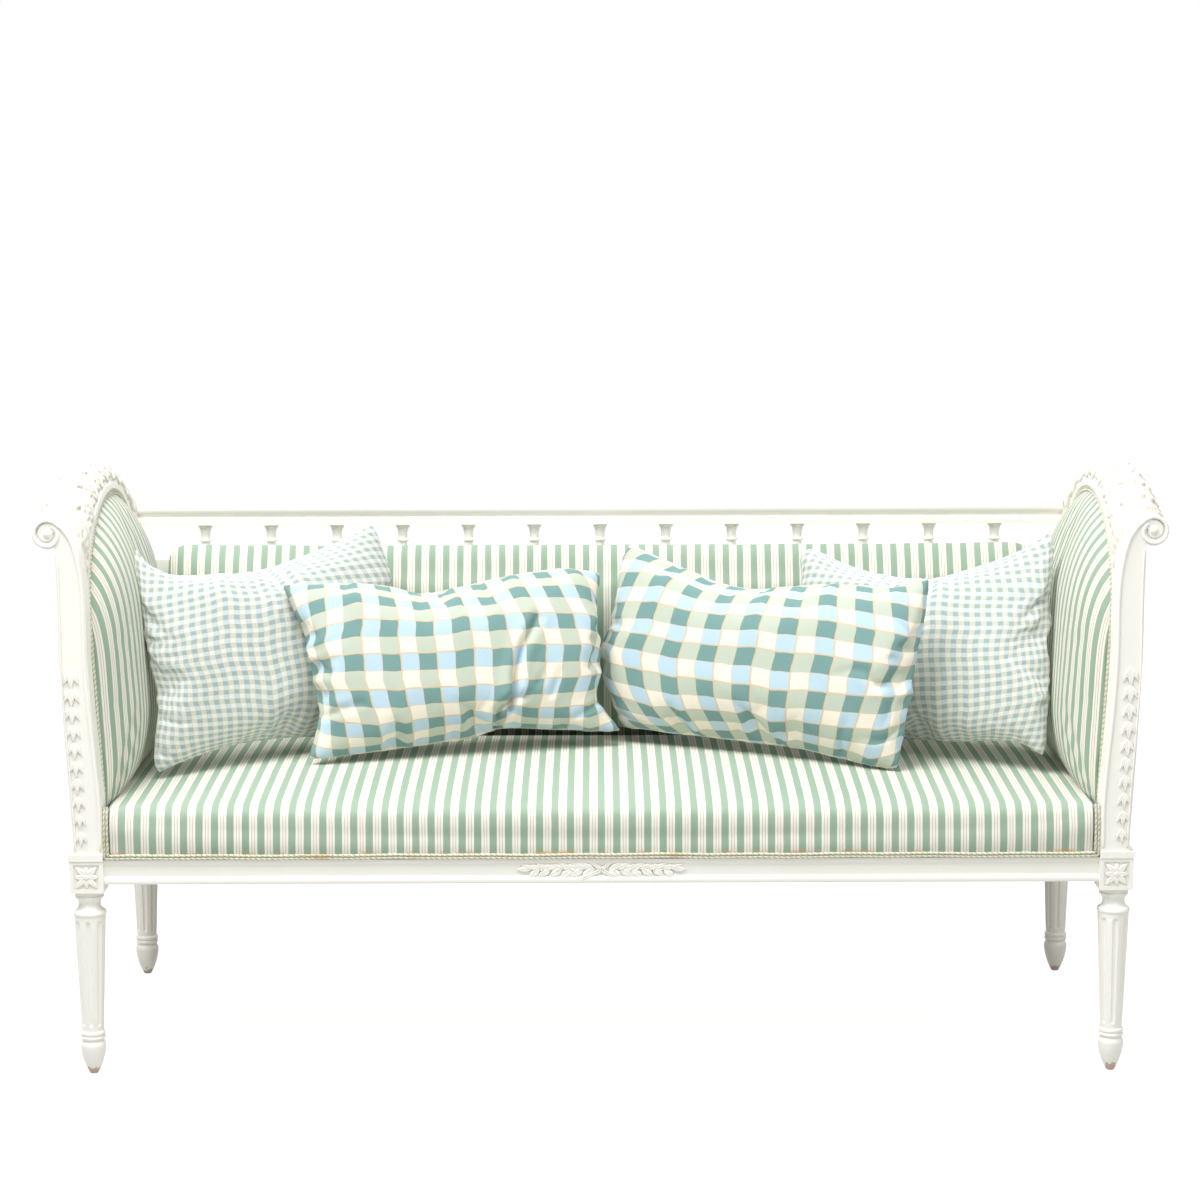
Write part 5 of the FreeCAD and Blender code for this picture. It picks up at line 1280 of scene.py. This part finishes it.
class BANQUETTE_OT_tack_covers(bpy.types.Operator):
    """Tack the outer cloths on the arms and back and the dust cloth underneath"""

    bl_idname = "banquette.tack_covers"
    bl_label = "Tack the outer cloths"

    def execute(self, context):
        cloth = stripe_material()
        for side, sx in SIDES.items():
            self.arm_cloth(side, sx, cloth)
        half, back, top = BACK_COVER
        columns = [(x, RAIL_SHOW_TOP + 0.5, top - 0.5) for x in np.linspace(-half + 0.5, half - 0.5, 90)]
        tacked_sheet("back_cloth", columns, lambda x, z, depth: metres(x, back + 0.4 + depth, z), 1.2, cloth,
                     "back_outer_cover")
        self.dust_cloth()
        return {"FINISHED"}

    def arm_cloth(self, side, sx, cloth):
        drop = PANEL_BASE[1] - RAIL_SHOW_TOP
        foot_x = OUTER_COVER_X + drop * math.tan(OUTER_COVER_LEAN)
        between_blocks = LEG_NOTCH[1]

        def place(y, up, depth):
            x = foot_x + (depth + 0.4) * math.cos(OUTER_COVER_LEAN) + up * math.sin(OUTER_COVER_LEAN)
            z = PANEL_BASE[1] - depth * math.sin(OUTER_COVER_LEAN) + up * math.cos(OUTER_COVER_LEAN)
            return metres(sx * x, y, z)

        columns = []
        half = POST_Y - 0.6
        inside = list(np.linspace(-between_blocks, between_blocks, 70))
        for y in [-half, -(between_blocks + 0.4)] + inside + [between_blocks + 0.4, half]:
            low = RAIL_SHOW_TOP + 0.6 if abs(y) <= between_blocks else BLOCK_TOP + 0.8
            top = PANEL_SPRING + (PANEL_RISE - 0.6) * math.sqrt(max(0.0, 1 - (y / POST_Y) ** 2))
            columns.append((y, low - PANEL_BASE[1], top))
        tacked_sheet("arm_cloth_" + side, columns, place, 1.2, cloth,
                     "arm_outer_cover_" + side)

    def dust_cloth(self):
        material = coarse_cloth_material("dust_cloth", *LINING)
        reach_x, reach_y, top = DUST_COVER
        notch_x, notch_y = LEG_NOTCH
        columns = [(x, -notch_y, notch_y) for x in (-reach_x, -(notch_x + 0.4))]
        columns += [(x, -reach_y, reach_y) for x in np.linspace(-notch_x, notch_x, 60)]
        columns += [(x, -notch_y, notch_y) for x in (notch_x + 0.4, reach_x)]

        def place(x, y, depth):
            sag = 2.2 * max(0.0, 1 - (x / notch_x) ** 2) * max(0.0, 1 - (y / notch_y) ** 2)
            return metres(x, y, top - depth - sag)

        tacked_sheet("dust_cloth", columns, place, 1.0, material,
                     "dust_cover")


# Trim

class BANQUETTE_OT_lay_gimp(bpy.types.Operator):
    """Lay the double cord along the seat's foot and round the arm pads"""

    bl_idname = "banquette.lay_gimp"
    bl_label = "Lay the gimp"

    def execute(self, context):
        trim = gimp_material()
        tree = cord_tree()
        values = {"Material": trim}
        rise = [(CORD_Y + 9, 456), (CORD_Y + 2, 442), (CORD_Y, 428), (CORD_Y, 388)]
        tacks = 42
        lines = []
        for offset in CORD_OFFSETS:
            x = SEAT_HALF + 3 - offset
            run = [(-x, y, z) for y, z in rise]
            for index in range(tacks):
                waver = 0.5 * math.sin(index * 1.7) + 0.4 * math.sin(index * 0.63)
                run.append((-x + 2 * x * index / (tacks - 1), CORD_Y, RAIL_SHOW_TOP + offset + waver))
            run += [(x, y, z) for y, z in reversed(rise)]
            lines.append(resample(run, 500) * MM)
        piece = grow("seat_cord", lines_mesh("seat_cord_lines", lines), tree, values)
        finish_piece(piece, trim, replaces=["seat_gimp"])
        for side, sx in SIDES.items():
            lines = []
            for inset in CORD_OFFSETS:
                half, rise = POST_Y - inset, PANEL_RISE - inset
                turns = np.linspace(0, math.pi, 120)
                path = [(-half, 2)]
                path += [(-half, z) for z in range(30, PANEL_SPRING, 25)]
                path += [(-half * math.cos(t), PANEL_SPRING + rise * math.sin(t)) for t in turns]
                path += [(half, z) for z in range(PANEL_SPRING - 5, 25, -25)]
                path += [(half, 2)]
                lines.append([on_panel(sx, -4.6, y, z) for y, z in resample(path, 420)])
            piece = grow("arm_cord_" + side, lines_mesh("arm_cord_lines", lines), tree, values)
            finish_piece(piece, trim, replaces=["arm_gimp_" + side])
        return {"FINISHED"}


# Pillows: outlines in the photograph's pixels, each side from corner to corner

PILLOWS = {
    "pillow_large_left": {
        "turn": 18, "lean": 15, "tilt": 0, "size": (0.58, 0.335, 0.125), "cloth": "large", "turned": True,
        "top": [(281, 582), (300, 584.5), (345, 583), (385, 585), (419, 593), (455, 588), (500, 577),
                (560, 568), (601, 573)],
        "right": [(622, 731), (609, 716), (597, 697), (601, 675), (600, 645), (597, 610), (601, 573)],
        "bottom": [(308, 760), (345, 756), (388, 751), (432, 744.5), (471, 739), (505, 729), (562, 730),
                   (622, 731)],
        "left": [(308, 760), (319, 716), (315, 684), (307, 654), (306, 636), (293, 610), (281, 582)],
        "folds": [
            ([(505, 712), (506, 698), (507, 678), (510, 664), (514, 650), (521, 636), (530, 620)], 32, 8),
            ([(495, 726), (492, 714), (500, 704), (516, 699)], 26, 8),
            ([(596, 703), (585, 710), (569, 719)], 9, 5),
            ([(530, 686), (535, 676), (539, 667)], 7, 6),
            ([(544, 698), (549, 684), (553, 672)], 6, 5),
            ([(319, 719), (334, 713), (356, 705)], 12, 6),
            ([(419, 593), (424, 602), (432, 610)], 9, 8),
            ([(596, 632), (595, 606), (589, 588), (576, 571)], 10, 4),
            ([(306, 650), (322, 646), (338, 640)], 4, 6)],
    },
    "pillow_large_right": {
        "turn": -31, "lean": 10, "tilt": -1, "size": (0.58, 0.335, 0.125), "cloth": "large",
        "top": [(629, 543), (643, 550), (660, 557), (695, 572), (722, 583), (759, 589), (810, 584.5),
                (855, 584.5), (890, 587), (913, 583), (929, 575)],
        "right": [(898, 769), (900, 751), (905, 723), (911, 698), (917.5, 650), (924, 622), (929, 575)],
        "bottom": [(624, 728), (648, 730), (672, 734), (718, 739), (764, 745), (798, 749), (839, 759),
                   (876, 767), (898, 769)],
        "left": [(624, 728), (618, 714), (610, 693), (602, 677), (601, 643), (614, 622), (614, 609),
                 (621, 567), (629, 543)],
        "folds": [
            ([(926, 604), (914, 664), (897, 700), (890, 752)], 6, 4),
            ([(917, 638), (910, 628), (903, 619)], 6, 5),
            ([(886, 688), (875, 671), (850, 674)], 8, 6),
            ([(905, 708), (893, 686), (877, 692)], 7, 5),
            ([(845, 750), (850, 735), (856, 720)], 7, 6),
            ([(903, 724), (890, 740), (868, 737)], 8, 5),
            ([(722, 584), (705, 586), (690, 580)], 6, 6),
            ([(745, 588), (762, 598), (790, 602)], 4, 9),
            ([(618, 712), (634, 718), (650, 727)], 7, 6),
            ([(612, 628), (630, 626), (648, 632)], 4, 7)],
    },
    "pillow_small_left": {
        "turn": 39, "lean": 8, "tilt": 0, "size": (0.49, 0.385, 0.10), "cloth": "small",
        "top": [(135, 547), (150, 565), (175, 575), (215, 574), (260, 570), (330, 545), (372, 522)],
        "right": [(394, 741), (392, 700), (391, 640), (392, 580), (383, 550), (372, 522)],
        "bottom": [(158.7, 774), (177, 764.5), (236, 745), (309, 737), (352, 740), (394, 741)],
        "left": [(158.7, 774), (154, 759), (158, 700), (150, 660), (140, 600), (135, 547)],
        "folds": [
            ([(250, 572), (256, 592), (265, 615), (281, 645), (302, 672)], 7, 4.5),
            ([(163, 571), (167, 582), (172, 594)], 7, 4),
            ([(178, 573), (175, 582), (174, 590)], 6, 4),
            ([(156, 714), (170, 723), (184, 720)], 8, 5),
            ([(156, 752), (168, 757), (178, 766)], 7, 4),
            ([(236, 746), (240, 735), (246, 724)], 6, 5),
            ([(212, 574), (225, 580), (240, 578)], 4, 5)],
    },
    "pillow_small_right": {
        "turn": -37, "lean": 8, "tilt": 0, "size": (0.49, 0.385, 0.10), "cloth": "small",
        "top": [(800, 556), (813, 549), (850, 566), (890, 576), (932, 579), (966, 570), (1004, 557),
                (1033, 543), (1051, 528)],
        "right": [(1043.6, 757), (1047, 727), (1049, 677), (1048, 612), (1053, 555), (1051, 528)],
        "bottom": [(818, 744), (860, 741), (903, 740), (956, 742), (1014, 742), (1043.6, 757)],
        "left": [(818, 744), (812, 700), (806, 650), (803, 600), (800, 556)],
        "folds": [
            ([(1048, 552), (1034, 570), (1020, 582)], 5, 7),
            ([(1040, 596), (1028, 600), (1014, 612)], 3, 6),
            ([(1030, 748), (1014, 728), (1000, 716)], 6, 6),
            ([(896, 578), (880, 586), (862, 588)], 5, 5),
            ([(812, 552), (826, 566), (846, 574)], 5, 5)],
    },
}


def attitude_of(facts):
    """How a pillow is turned, from its own axes to the sofa's."""
    about_z = Matrix.Rotation(math.radians(facts["turn"]), 3, "Z")
    about_x = Matrix.Rotation(math.radians(-facts["lean"]), 3, "X")
    about_y = Matrix.Rotation(math.radians(-facts["tilt"]), 3, "Y")
    return np.array(about_z @ about_x @ about_y)


def centre_of(node):
    low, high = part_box(node)
    return (np.array(low) + np.array(high)) / 2


def pixels_on_plane(pixels, centre, attitude):
    """Pixels as (x, z) on a pillow's own middle plane."""
    found = []
    normal = attitude[:, 1]
    for pixel in pixels:
        way = sight(pixel)
        reach = np.dot(centre - EYE, normal) / np.dot(way, normal)
        local = attitude.T @ (EYE + way * reach - centre)
        found.append((local[0], local[2]))
    return np.array(found)


def pillow_sheets(name, length, height, columns, rows, turned):
    """Two sheets sewn together all round, a little apart between the seams."""
    vertices, uv, front, behind = [], [], {}, {}
    share = sizes().check_height
    for layer, way in ((front, -1), (behind, 1)):
        for i in range(columns + 1):
            for j in range(rows + 1):
                rim = i in (0, columns) or j in (0, rows)
                if rim and layer is behind:
                    behind[i, j] = front[i, j]
                    continue
                s, t = 2 * i / columns - 1, 2 * j / rows - 1
                lift = 0.03 * ((1 - s * s) * (1 - t * t)) ** 0.5
                layer[i, j] = len(vertices)
                x, z = s * length / 2, t * height / 2
                vertices.append((x, way * lift, z))
                uv.append((z / share, x * share) if turned else (x, z))
    faces = []
    for i in range(columns):
        for j in range(rows):
            for layer in (front, behind):
                faces.append((layer[i, j], layer[i + 1, j], layer[i + 1, j + 1], layer[i, j + 1]))
    return new_piece(name, vertices, faces, uv), front, behind


def nearest_on_line(points, line):
    """From many points of a plane to a line of points: the way there, the distance, the share of the line."""
    way = np.zeros_like(points)
    best = np.full(len(points), 1e9)
    along = np.zeros(len(points))
    for index, (start, end) in enumerate(zip(line[:-1], line[1:])):
        run = end - start
        share = np.clip(((points - start) @ run) / max(np.dot(run, run), 1e-12), 0, 1)
        there = start + share[:, None] * run - points
        far = np.linalg.norm(there, axis=1)
        nearer = far < best
        best[nearer] = far[nearer]
        way[nearer] = there[nearer]
        along[nearer] = (index + share[nearer]) / (len(line) - 1)
    return way, best, along


class BANQUETTE_OT_make_pillows(bpy.types.Operator):
    """Sew, fill and set down the four loose pillows"""

    bl_idname = "banquette.make_pillows"
    bl_label = "Make the pillows"

    def execute(self, context):
        cloths = {"large": check_material("large_check_cotton", sizes().large_check, 0.0),
                  "small": check_material("small_check_cotton", sizes().small_check, 0.3)}
        for name, facts in PILLOWS.items():
            self.make(name, facts, cloths[facts["cloth"]])
        return {"FINISHED"}

    def make(self, name, facts, cloth):
        length, height, thickness = facts["size"]
        step = 0.0078
        columns, rows = int(length / step), int(height / step)
        turned = facts.get("turned", False)
        piece, front, behind = pillow_sheets(name + "_case", length, height, columns, rows, turned)
        settle(piece, None, 4.0, 22, 0, tension=40.0, slack=6.0, bending=0.06, shrink=-0.03)
        points = coordinates(piece.data)
        points -= points.mean(axis=0)
        centre = centre_of(name + "_cover")
        attitude = attitude_of(facts)
        self.fit_outline(points, facts, front, behind, columns, rows, centre, attitude)
        low, high = points[:, 1].min(), points[:, 1].max()
        points[:, 1] = (points[:, 1] - (low + high) / 2) * thickness / (high - low)
        fronts = np.array(sorted(index for (i, j), index in front.items()
                                 if 0 < i < columns and 0 < j < rows))
        for line, depth, width in facts["folds"]:
            fold = smooth_line(pixels_on_plane(line, centre, attitude), 24)
            way, far, along = nearest_on_line(points[fronts][:, (0, 2)], fold)
            deep = depth * MM * (1 - 0.6 * along)
            reach = far / (width * MM)
            points[fronts, 1] += deep * np.exp(-reach ** 1.4)
            points[fronts, 1] -= 0.4 * deep * np.exp(-(reach - 2) ** 2)
            gather = np.minimum(0.45 * deep / np.maximum(far, 1e-6), 0.6) * np.exp(-(reach / 2.4) ** 2)
            points[np.ix_(fronts, (0, 2))] += way * gather[:, None]
        world = points @ attitude.T + centre
        seat = seat_height(world[:, 0], world[:, 1]) + 0.0012
        world[:, 2] = np.maximum(world[:, 2], seat)
        move_to(piece.data, world)
        finish_piece(piece, cloth, body=name,
                     replaces=[name + "_cover", name + "_filling"], subdivide=1)

    def between(self, moves, share):
        """The move of a straight side, from those of its two corners."""
        return (1 - share) * moves[0] + share * moves[-1]

    def fit_outline(self, points, facts, front, behind, columns, rows, centre, attitude):
        """Bring the seam to the outline in the photograph; the cloth inside it follows the corners more."""
        sides, steady = {}, 2.4
        for side, count in (("top", columns), ("bottom", columns), ("left", rows), ("right", rows)):
            wanted = smooth_line(pixels_on_plane(facts[side], centre, attitude), count + 1)
            if side in ("top", "bottom"):
                j = rows if side == "top" else 0
                have = np.array([points[front[i, j]] for i in range(columns + 1)])
            else:
                i = 0 if side == "left" else columns
                have = np.array([points[front[i, j]] for j in range(rows + 1)])
            sides[side] = wanted - have[:, (0, 2)]
        for key, index in list(front.items()) + [(k, v) for k, v in behind.items() if front[k] != v]:
            i, j = key
            s, t = i / columns, j / rows
            move = (1 - t) * self.between(sides["bottom"], s) + t * self.between(sides["top"], s)
            move = move + (1 - t) ** steady * (sides["bottom"][i] - self.between(sides["bottom"], s))
            move = move + t ** steady * (sides["top"][i] - self.between(sides["top"], s))
            move = move + (1 - s) ** steady * (sides["left"][j] - self.between(sides["left"], t))
            move = move + s ** steady * (sides["right"][j] - self.between(sides["right"], t))
            points[index, 0] += move[0]
            points[index, 2] += move[1]


# Stage

class BANQUETTE_OT_set_stage(bpy.types.Operator):
    """Set the floor, the lights, the background and the camera"""

    bl_idname = "banquette.set_stage"
    bl_label = "Set the stage"

    def execute(self, context):
        scene = context.scene
        scene.view_settings.view_transform = "Standard"
        self.floor()
        self.background(scene)
        for name, place, size, watts in (("key", (-1.2, -1.5, 4.3), 2.6, 230),
                                         ("fill", (2.2, -2.2, 3.6), 2.8, 48),
                                         ("rim", (0.4, 2.6, 3.0), 2.4, 30)):
            self.lamp(name, place, size, watts)
        self.camera(scene)
        return {"FINISHED"}

    def seen(self, web):
        """One for rays from the camera and those that mirror or pass through, none for light."""
        path = web.node("ShaderNodeLightPath").outputs
        seen = web.math("MAXIMUM", path["Is Camera Ray"], path["Is Glossy Ray"])
        return web.math("MAXIMUM", seen, path["Is Transmission Ray"])

    def floor(self):
        reach = 30
        corners = [(-reach, -reach, 0), (reach, -reach, 0), (reach, reach, 0), (-reach, reach, 0)]
        floor = new_piece("floor", corners, [(0, 1, 2, 3)], smooth=False, closed=False)
        material, web = new_material("pale_floor")
        diffuse = web.node("ShaderNodeBsdfDiffuse", {"Color": (0.56, 0.56, 0.55, 1)}).outputs[0]
        faint = web.node("ShaderNodeBsdfDiffuse", {"Color": (0.3, 0.3, 0.3, 1)}).outputs[0]
        glow = web.node("ShaderNodeEmission", {"Color": (1, 1, 1, 1), "Strength": 0.91}).outputs[0]
        lit = web.node("ShaderNodeAddShader", {0: faint, 1: glow}).outputs[0]
        mixed = web.node("ShaderNodeMixShader", {0: self.seen(web), 1: diffuse, 2: lit}).outputs[0]
        out = web.node("ShaderNodeOutputMaterial")
        web.tree.links.new(mixed, out.inputs["Surface"])
        floor.data.materials.append(material)

    def background(self, scene):
        world = bpy.data.worlds.new("studio")
        scene.world = world
        world.use_nodes = True
        world.node_tree.nodes.clear()
        web = Web(world.node_tree)
        strength = web.span(self.seen(web), 0.0, 1.0, 0.35, 1.0)
        light = web.node("ShaderNodeBackground", {"Color": (1, 1, 1, 1), "Strength": strength})
        out = web.node("ShaderNodeOutputWorld")
        web.tree.links.new(light.outputs[0], out.inputs["Surface"])

    def lamp(self, name, place, size, watts):
        light = bpy.data.lights.new(name, "AREA")
        light.size = size
        light.energy = watts
        lamp = bpy.data.objects.new(name, light)
        bpy.context.scene.collection.objects.link(lamp)
        lamp.location = place
        lamp.rotation_euler = (Vector((0, 0, 0.5)) - Vector(place)).to_track_quat("-Z", "Y").to_euler()

    def camera(self, scene):
        right, up, forward = camera_axes()
        data = bpy.data.cameras.new("camera")
        data.sensor_width = SENSOR
        data.lens = FOCAL * SENSOR / IMAGE
        camera = bpy.data.objects.new("camera", data)
        scene.collection.objects.link(camera)
        turned = Matrix((right, up, -forward)).transposed().to_4x4()
        camera.matrix_world = Matrix.Translation(Vector(EYE)) @ turned
        scene.camera = camera


OPERATORS = (
    BANQUETTE_OT_paint_frame,
    BANQUETTE_OT_mould_posts,
    BANQUETTE_OT_carve_crests,
    BANQUETTE_OT_carve_ornaments,
    BANQUETTE_OT_cover_seat,
    BANQUETTE_OT_cover_back,
    BANQUETTE_OT_cover_arms,
    BANQUETTE_OT_tack_covers,
    BANQUETTE_OT_lay_gimp,
    BANQUETTE_OT_make_pillows,
    BANQUETTE_OT_set_stage,
)


class VIEW3D_PT_banquette(bpy.types.Panel):
    """Colours, sizes and steps of the banquette"""

    bl_label = "Banquette"
    bl_space_type = "VIEW_3D"
    bl_region_type = "UI"
    bl_category = "Banquette"

    def draw(self, context):
        for group in (colours(), sizes()):
            box = self.layout.box()
            for name in group.bl_rna.properties.keys():
                if name not in ("rna_type", "name"):
                    box.prop(group, name)
        for operator in OPERATORS:
            self.layout.operator(operator.bl_idname)


CLASSES = (BANQUETTE_PG_colours, BANQUETTE_PG_sizes, *OPERATORS, VIEW3D_PT_banquette)


def register():
    for item in CLASSES:
        bpy.utils.register_class(item)
    bpy.types.Scene.banquette_colours = PointerProperty(type=BANQUETTE_PG_colours)
    bpy.types.Scene.banquette_sizes = PointerProperty(type=BANQUETTE_PG_sizes)


def unregister():
    del bpy.types.Scene.banquette_sizes
    del bpy.types.Scene.banquette_colours
    for item in reversed(CLASSES):
        bpy.utils.unregister_class(item)


def main():
    register()
    for operator in OPERATORS:
        getattr(bpy.ops.banquette, operator.bl_idname.split(".")[1])()


if __name__ == "__main__":
    main()
